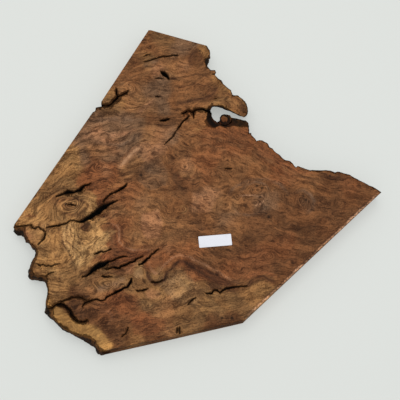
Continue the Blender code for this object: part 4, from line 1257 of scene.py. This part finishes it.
def crossing_spans(segments, height):
    """Places where a level line at this height crosses the boundary, in order."""
    low, high = segments[:, 1], segments[:, 3]
    crossed = (low > height) != (high > height)
    hit = segments[crossed]
    share = (height - hit[:, 1]) / (hit[:, 3] - hit[:, 1])
    return np.sort(hit[:, 0] + share * (hit[:, 2] - hit[:, 0]))


def points_inside(segments, spacing, seed, clear_of):
    """Staggered points inside a closed boundary, each a little off its place, clear of the boundary."""
    draw = np.random.default_rng(seed)
    row_gap = spacing * math.sqrt(3) / 2
    low = min(segments[:, 1].min(), segments[:, 3].min())
    high = max(segments[:, 1].max(), segments[:, 3].max())
    found = []
    for number, height in enumerate(np.arange(low + row_gap / 2, high, row_gap)):
        crossings = crossing_spans(segments, height)
        offset = spacing / 2 * (number % 2)
        for start, end in zip(crossings[::2], crossings[1::2]):
            first = math.ceil((start - offset) / spacing)
            last = math.floor((end - offset) / spacing)
            row = np.arange(first, last + 1) * spacing + offset
            if len(row):
                found.append(np.column_stack([row, np.full(len(row), height)]))
    found = np.concatenate(found)
    found += draw.uniform(-POINT_STRAY, POINT_STRAY, found.shape) * spacing
    least = RIM_CLEARANCE * spacing
    return np.array([point for point in found if clear_of.find((point[0], point[1], 0))[2] > least])


def faces_within(faces, origin, rim_pairs, rim_count):
    """The faces on the wood's side of the rim: those with an inner point, and all that join them."""
    rim = {frozenset(pair) for pair in rim_pairs}
    keys = [[frozenset((origin[face[k - 1]], origin[face[k]])) for k in range(len(face))] for face in faces]
    beside = {}
    for number, around in enumerate(keys):
        for key in around:
            beside.setdefault(key, []).append(number)
    within = {number for number, face in enumerate(faces)
              if any(origin[index] >= rim_count for index in face)}
    waiting = list(within)
    while waiting:
        for key in keys[waiting.pop()]:
            if key in rim:
                continue
            for number in beside[key]:
                if number not in within:
                    within.add(number)
                    waiting.append(number)
    return [face for number, face in enumerate(faces) if number in within]


def open_rim(mesh, height):
    """The edges of the open rim at one height."""
    return [edge for edge in mesh.edges if edge.is_boundary
            and all(abs(vert.co.z - height) < LEVEL_TOLERANCE for vert in edge.verts)]


def plan_tree(places):
    """A search tree over plan points."""
    tree = kdtree.KDTree(len(places))
    for index, (x, y) in enumerate(places):
        tree.insert((x, y, 0), index)
    tree.balance()
    return tree


def lay_cap(mesh, height, spacing, facing, seed):
    """Lay a flat face across the open rim at one height, with a point about every spacing."""
    rim = open_rim(mesh, height)
    verts = list({vert for edge in rim for vert in edge.verts})
    number = {vert: index for index, vert in enumerate(verts)}
    places = np.array([(vert.co.x, vert.co.y) for vert in verts]) / MM
    pairs = [(number[edge.verts[0]], number[edge.verts[1]]) for edge in rim]
    segments = np.array([(*places[a], *places[b]) for a, b in pairs])
    shares = np.linspace(0, 1, RIM_PARTS, endpoint=False)[:, None, None]
    along = (segments[:, :2] * (1 - shares) + segments[:, 2:] * shares).reshape(-1, 2)
    inner = points_inside(segments, spacing / MM, seed, plan_tree(along))
    flat = [Vector(place) for place in np.concatenate([places, inner])]
    placed, _, faces, sources, _, _ = delaunay_2d_cdt(flat, pairs, [], 0, 1e-7)
    if any(not source for source in sources):
        raise RuntimeError("the rim at %.4f m crosses itself" % height)
    origin = [source[0] for source in sources]
    new_verts = {}

    def vert_for(index):
        source = origin[index]
        if source < len(verts):
            return verts[source]
        if source not in new_verts:
            new_verts[source] = mesh.verts.new((placed[index].x * MM, placed[index].y * MM, height))
        return new_verts[source]

    laid = []
    for face in faces_within(faces, origin, pairs, len(verts)):
        corners = [vert_for(index) for index in face]
        if facing < 0:
            corners.reverse()
        laid.append(mesh.faces.new(corners))
    return laid


def clearance(tree, vert, normal, reach):
    """Distance from a point of the sides to the next wall, out through the air and in through the wood."""
    nearest = reach
    for way in (normal, -normal):
        hit = tree.ray_cast(vert.co + way * RAY_START, way, reach)
        if hit[0] is not None:
            nearest = min(nearest, hit[3])
    return nearest


def side(start, run, point):
    """On which side of a run from its start a point lies, by its sign."""
    return run[..., 0] * (point[..., 1] - start[..., 1]) - run[..., 1] * (point[..., 0] - start[..., 0])


def rim_crossings(mesh):
    """Points of the open rims whose edges cross another edge of the same rim."""
    crossed = set()
    for height in (TOP, 0.0):
        rim = open_rim(mesh, height)
        a = np.array([edge.verts[0].co[:2] for edge in rim]) / MM
        b = np.array([edge.verts[1].co[:2] for edge in rim]) / MM
        ids = np.array([(edge.verts[0].index, edge.verts[1].index) for edge in rim])
        run = b - a
        for first in range(len(rim)):
            near = np.nonzero(np.abs(a - a[first]).max(axis=1) < NEIGHBOUR_REACH)[0]
            near = near[near > first]
            shared = (ids[near][:, :, None] == ids[first][None, None]).any(axis=(1, 2))
            near = near[~shared]
            if not len(near):
                continue

            ends_apart = side(a[first], run[first], a[near]) * side(a[first], run[first], b[near]) <= 0
            own_apart = side(a[near], run[near], a[first]) * side(a[near], run[near], b[first]) <= 0
            for hit in near[ends_apart & own_apart]:
                crossed.update((*ids[first], *ids[hit]))
    return crossed


def roughen_sides(mesh, slab):
    """Push the sides of the live edges and cracks in and out, and keep the sawn sides straight."""
    mesh.normal_update()
    mesh.verts.index_update()
    mesh.verts.ensure_lookup_table()
    x, y, z = np.array([vert.co for vert in mesh.verts]).T / MM
    lumps = cloud(x + LUMP_SLANT[0] * z, y + LUMP_SLANT[1] * z, LUMP_CELL, slab.seed)
    shards = cloud(x + SHARD_SLANT[0] * z, y + SHARD_SLANT[1] * z, SHARD_CELL, slab.seed + 9, 2)
    inside = crack_side(mesh)
    walls = BVHTree.FromBMesh(mesh)
    before = {}
    pushes = {}
    for index, vert in enumerate(mesh.verts):
        normal = Vector((vert.normal.x, vert.normal.y, 0))
        if on_sawn_side(vert.co) or normal.length < LEVEL_WALL:
            continue
        normal.normalize()
        reach = slab.crack_roughness if inside[index] else slab.bark_roughness
        push = reach * (LUMP_SHARE * lumps[index] + SHARD_SHARE * shards[index])
        if abs(vert.co.z - TOP) < LEVEL_TOLERANCE and not inside[index]:
            push *= RIM_SHARE
        room = ROOM_SHARE * clearance(walls, vert, normal, WALL_REACH)
        before[index] = vert.co.copy()
        pushes[index] = normal * max(-room, min(room, push))
    for index, push in pushes.items():
        mesh.verts[index].co += push
    for _ in range(MENDING_ROUNDS):
        crossed = rim_crossings(mesh)
        if not crossed:
            break
        for index in crossed:
            if index in before:
                mesh.verts[index].co = before[index]


def crack_side(mesh):
    """For each point of the sides, whether it belongs to a crack and not to the outer edge."""
    outline = []
    start = max(mesh.verts, key=lambda vert: (round(vert.co.z, 5), vert.co.x))
    edge = next(edge for edge in start.link_edges if edge.is_boundary)
    vert = start
    while True:
        outline.append((vert.co.x / MM, vert.co.y / MM))
        vert = edge.other_vert(vert)
        if vert == start:
            break
        edge = next(other for other in vert.link_edges if other.is_boundary and other != edge)
    outline = np.array(outline)
    places = np.array([vert.co[:2] for vert in mesh.verts]) / MM
    gap, _ = nearest_on_course(places[:, 0], places[:, 1], np.vstack([outline, outline[:1]]))
    segments = np.column_stack([outline, np.roll(outline, -1, axis=0)])
    inside = np.zeros(len(places), bool)
    for index, (x, y) in enumerate(places):
        inside[index] = np.count_nonzero(crossing_spans(segments, y) > x) % 2 == 1
    return inside & (gap > CRACK_INSET)


def rim_stain(mesh, x, y):
    """How dark each point is made by the stain beside a live edge's rim, and by the painted shade beside a
    crack's rim.
    """
    face_of = np.zeros(len(mesh.polygons), int)
    mesh.polygons.foreach_get("material_index", face_of)
    corners = np.zeros(len(mesh.polygons) * 3, int)
    mesh.polygons.foreach_get("vertices", corners)
    corners = corners.reshape(-1, 3)
    of_face = np.zeros(len(x), bool)
    of_face[corners[face_of == FACE_SLOT].ravel()] = True
    stains_and_shade = np.zeros(len(x))
    for index, reach in ((BARK_SLOT, BARK_STAIN), (CRACK_SLOT, CRACK_RIM_SHADE)):
        of_side = np.zeros(len(x), bool)
        of_side[corners[face_of == index].ravel()] = True
        rim = np.nonzero(of_face & of_side)[0]
        tree = plan_tree(np.column_stack([x[rim], y[rim]]))
        gap = np.array([tree.find((px, py, 0))[2] for px, py in zip(x, y)])
        waver = 1
        for part, cell, noise_seed in STAIN_AND_SHADE_WAVER:
            waver = waver + part * lattice_noise(x, y, cell, noise_seed + index)
        stains_and_shade = np.maximum(stains_and_shade, faded(gap, np.maximum(reach * waver, LEAST_STAIN_AND_SHADE_REACH), 2))
    return stains_and_shade


def point_rows(mesh, name):
    """A value of three parts at each point of a mesh, as three rows."""
    values = np.zeros(len(mesh.vertices) * 3)
    mesh.vertices.foreach_get(name, values)
    return values.reshape(-1, 3).T


def slab_tones(x, y, line_x, line_y):
    """The slab's tones: the blended ones, with patches, streaks and the sapwood laid over them."""
    tones = tone_field(*warped(x, y, TONE_WARP))
    for lay in (lay_regions, lay_streaks, lay_sapwood):
        tones = lay(line_x, line_y, tones)
    return tones


def figure_at(x, y):
    """The figure's height at each plan point, swelling a little, in metres."""
    figure = figure_height(x, y)
    for reach, cell, seed, octaves in FIGURE_SWELL:
        figure = figure + reach * cloud(x, y, cell, seed, octaves)
    return figure * MM


def vividness(x, y):
    """How lively the figure is at each plan point."""
    lively, calm = VIVID_EDGE
    vivid = np.clip((calm - x) / (calm - lively), 0, 1)
    return np.maximum(vivid, faded(gap_to(x, y, SPECKLED_PLACE), SPECKLED_REACH, 2))


def plainness(x, y):
    """How smooth and plain the wood is at each plan point."""
    scale = picture_scale()
    plain = np.zeros(len(x))
    for px, py, reach, share in SMOOTH_PLACES:
        plain = np.maximum(plain, share * faded(gap_to(x, y, (px, py)), reach * scale))
    return plain


def darkening_in_hollow(x, y, knob_gap):
    """How black each plan point is painted in the hollow: painted shade on its wall, darker at its lip. The
    knob's top is bare, in a dark ring.
    """
    wall_gap, _ = nearest_on_course(x, y, on_top(HOLLOW_WALL_SHADE))
    lip_gap, _ = nearest_on_course(x, y, on_top(DARK_LIP))
    hollow_dark = np.maximum(faded(wall_gap, HOLLOW_WALL_SHADE_REACH), DARK_LIP_SHARE * faded(lip_gap, DARK_LIP_REACH))
    ringed = np.where(knob_gap < KNOB_REACH + KNOB_RING, KNOB_RING_SHARE, hollow_dark)
    return np.where(knob_gap < KNOB_REACH, 0.0, ringed)


def write_attributes(piece):
    """Give the slab its tone, figure, burl and eye values, point by point."""
    mesh = piece.data
    x_top, y_top, z = point_rows(mesh, "co") / MM
    facing = point_rows(mesh, "normal")[2]
    depth = TOP / MM - z
    under = depth > UNDERSIDE_DEPTH
    x = x_top + depth * GRAIN_SLANT[0]
    x = x + np.where(under, UNDERSIDE_WARP * lattice_noise(x_top, y_top, UNDERSIDE_CELL, 5), 0)
    y = y_top + depth * GRAIN_SLANT[1]
    y = y + np.where(under, UNDERSIDE_WARP * lattice_noise(x, y_top, UNDERSIDE_CELL, 6), 0)
    line_x, line_y = warped(x, y, LINE_WARP)
    tones = slab_tones(x, y, line_x, line_y)
    colours = np.column_stack([tones, np.ones(len(x))])
    tone = mesh.attributes.new("tone", 'FLOAT_COLOR', 'POINT')
    tone.data.foreach_set("color", colours.astype(np.float32).ravel())

    burl, heart = eye_mask(x, y)
    knob_gap = np.hypot(x - KNOB_PLACE[0], y - KNOB_PLACE[1])
    bare = np.clip(facing, 0, 1) ** 2 * np.where(knob_gap < KNOB_REACH, 1.0, SIDE_BARENESS)
    # Painted shade on the lower sawn sides, growing from the top face to full at its depth
    foot_gap, _ = nearest_on_course(x_top, y_top, np.array(FOOT_SHADE_COURSE, float))
    foot_shade = FOOT_SHADE_SHARE * (foot_gap < FOOT_SHADE_REACH) * np.clip(depth / FOOT_SHADE_DEPTH, 0, 1)
    for name, values in (
            ("figure", figure_at(x, y)),
            ("burl", burl),
            ("eye_heart", heart),
            ("bare", bare),
            ("vivid", vividness(x, y)),
            ("rim_stain", np.maximum(rim_stain(mesh, x_top, y_top), foot_shade)),
            ("plain", plainness(line_x, line_y)),
            ("hollow_dark", darkening_in_hollow(x_top, y_top, knob_gap))):
        point_value = mesh.attributes.new(name, 'FLOAT', 'POINT')
        point_value.data.foreach_set("value", values.astype(np.float32))


class WALNUT_OT_slab(Operator):
    """Lay the slab's faces finely, roughen its bark and cracks, and give it its figure"""
    bl_idname = "walnut.slab"
    bl_label = "Walnut slab"

    def execute(self, context):
        slab = settings("walnut_slab")
        piece = merged_copy("walnut_block", "walnut_slab")
        cut_hairlines(piece, slab.seed)
        mesh = bmesh.new()
        mesh.from_mesh(piece.data)
        cut_off_caps(mesh)
        refine_sides(mesh, slab)
        roughen_sides(mesh, slab)
        inside = crack_side(mesh)
        mesh.verts.index_update()
        for face in mesh.faces:
            middle = face.calc_center_median()
            if on_sawn_side(middle):
                face.material_index = FACE_SLOT
            elif all(inside[vert.index] for vert in face.verts):
                face.material_index = CRACK_SLOT
            else:
                face.material_index = BARK_SLOT
        rim = [vert for vert in mesh.verts if abs(vert.co.z - TOP) < LEVEL_TOLERANCE]
        laid = lay_cap(mesh, TOP, slab.top_spacing, 1, slab.seed)
        laid += lay_cap(mesh, 0.0, slab.under_spacing, -1, slab.seed + 1)
        for face in laid:
            face.material_index = FACE_SLOT
        for vert in rim:
            vert.co.z -= slab.arris_wear
        mesh.to_mesh(piece.data)
        mesh.free()
        faces = len(piece.data.polygons)
        if faces >= FACE_LIMIT:
            raise RuntimeError("the slab has too many faces: %d" % faces)
        write_attributes(piece)
        for material in (face_material(grain_group(), figure_group()), bark_material(), crack_material()):
            piece.data.materials.append(material)
        select_only(piece)
        bpy.ops.object.shade_smooth_by_angle(angle=SLAB_SMOOTHING)
        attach(piece, "root")
        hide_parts("walnut_block")
        return {'FINISHED'}


class WALNUT_OT_label(Operator):
    """Cut the blank paper label and lay it on the top face with its corners a little lifted"""
    bl_idname = "walnut.label"
    bl_label = "Paper label"

    def execute(self, context):
        values = settings("paper_label")
        piece = merged_copy("paper_label", "blank_label")
        mesh = bmesh.new()
        mesh.from_mesh(piece.data)
        flat = [edge for edge in mesh.edges if len(edge.link_faces) == 2
                and edge.calc_face_angle(1.0) < FLAT_ANGLE]
        bmesh.ops.dissolve_edges(mesh, edges=flat, use_verts=False)
        middle = Vector(((LABEL_LOW[0] + LABEL_HIGH[0]) / 2, (LABEL_LOW[1] + LABEL_HIGH[1]) / 2, 0))
        along = Vector((math.cos(LABEL_TURN), math.sin(LABEL_TURN), 0))
        across = Vector((-along.y, along.x, 0))
        ways = zip((along, across), (LABEL_HALF_LENGTH, LABEL_HALF_WIDTH), LABEL_PARTS)
        for direction, half, steps in ways:
            for step in range(1, steps):
                point = middle + direction * (half * (2 * step / steps - 1))
                bmesh.ops.bisect_plane(mesh, geom=mesh.verts[:] + mesh.edges[:] + mesh.faces[:],
                                       plane_co=point, plane_no=direction)
        for vert in mesh.verts:
            offset = vert.co - middle
            u = abs(offset.dot(along)) / LABEL_HALF_LENGTH
            v = abs(offset.dot(across)) / LABEL_HALF_WIDTH
            curl = (max(0.0, u - CURL_START) / (1 - CURL_START)) ** 2
            vert.co.z += values.lift * curl * (CURL_BETWEEN_CORNERS + (1 - CURL_BETWEEN_CORNERS) * v * v)
        bmesh.ops.triangulate(mesh, faces=mesh.faces)
        mesh.to_mesh(piece.data)
        mesh.free()
        piece.data.materials.append(paper_material())
        select_only(piece)
        bpy.ops.object.shade_smooth_by_angle(angle=LABEL_SMOOTHING)
        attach(piece, "root")
        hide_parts("paper_label")
        return {'FINISHED'}


def area_light(name, place, size, power, colour):
    """A rectangular light that shines at the slab's middle."""
    data = bpy.data.lights.new(name, 'AREA')
    data.shape = 'RECTANGLE'
    data.size, data.size_y = size
    data.energy = power
    data.color = colour
    light = bpy.data.objects.new(name, data)
    bpy.context.scene.collection.objects.link(light)
    light.location = place
    light.rotation_euler = (-Vector(place)).to_track_quat('-Z', 'Y').to_euler()


class WALNUT_OT_stage(Operator):
    """Set the pale floor, the soft light and the camera"""
    bl_idname = "walnut.stage"
    bl_label = "Stage"

    def execute(self, context):
        stage = settings("slab_stage")
        bpy.ops.object.select_all(action='DESELECT')
        bpy.ops.mesh.primitive_plane_add(size=FLOOR_SIZE, location=(0, 0, 0))
        floor = context.active_object
        floor.name = "floor"
        material, _, shader = plain_material("plain floor")
        shader.inputs["Base Color"].default_value = (*stage.floor_colour, 1.0)
        shader.inputs["Emission Color"].default_value = (*stage.floor_colour, 1.0)
        shader.inputs["Emission Strength"].default_value = stage.floor_glow
        shader.inputs["Roughness"].default_value = 0.9
        shader.inputs["Specular IOR Level"].default_value = 0.1
        floor.data.materials.append(material)

        world = bpy.data.worlds.new("soft room")
        world.use_nodes = True
        background = world.node_tree.nodes["Background"]
        background.inputs["Color"].default_value = (*ROOM_COLOUR, 1.0)
        background.inputs["Strength"].default_value = ROOM_LIGHT
        context.scene.world = world
        for light in LIGHTS:
            area_light(*light)

        place, right, up, back = camera_axes()
        data = bpy.data.cameras.new("camera")
        data.sensor_fit = 'HORIZONTAL'
        data.sensor_width = SENSOR_WIDTH
        data.lens = SENSOR_WIDTH * stage.focal_share
        data.clip_start = 0.01
        camera = bpy.data.objects.new("camera", data)
        context.scene.collection.objects.link(camera)
        camera.matrix_world = Matrix((
            (right.x, up.x, back.x, place.x),
            (right.y, up.y, back.y, place.y),
            (right.z, up.z, back.z, place.z),
            (0, 0, 0, 1)))
        context.scene.camera = camera
        context.scene.view_settings.view_transform = 'Standard'
        return {'FINISHED'}


class WALNUT_PT_panel(Panel):
    """Buttons and values for the walnut slab"""
    bl_idname = "WALNUT_PT_panel"
    bl_label = "Walnut slab"
    bl_space_type = 'VIEW_3D'
    bl_region_type = 'UI'
    bl_category = "Walnut"

    def draw(self, context):
        layout = self.layout
        for operator, group in (("walnut.slab", "walnut_slab"), ("walnut.label", "paper_label"),
                                ("walnut.stage", "slab_stage")):
            box = layout.box()
            box.operator(operator)
            values = getattr(context.scene, group)
            for name in values.__annotations__:
                box.prop(values, name)


CLASSES = (WalnutSlabSettings, PaperLabelSettings, SlabStageSettings,
           WALNUT_OT_slab, WALNUT_OT_label, WALNUT_OT_stage, WALNUT_PT_panel)


def register():
    """Add the classes and their values to Blender."""
    for item in CLASSES:
        bpy.utils.register_class(item)
    bpy.types.Scene.walnut_slab = PointerProperty(type=WalnutSlabSettings)
    bpy.types.Scene.paper_label = PointerProperty(type=PaperLabelSettings)
    bpy.types.Scene.slab_stage = PointerProperty(type=SlabStageSettings)


def unregister():
    """Take the classes and their values out of Blender."""
    for name in ("slab_stage", "paper_label", "walnut_slab"):
        delattr(bpy.types.Scene, name)
    for item in reversed(CLASSES):
        bpy.utils.unregister_class(item)


def main():
    """Build the stage, the slab and its label."""
    register()
    bpy.ops.walnut.stage()
    bpy.ops.walnut.slab()
    bpy.ops.walnut.label()


if __name__ == "__main__":
    main()
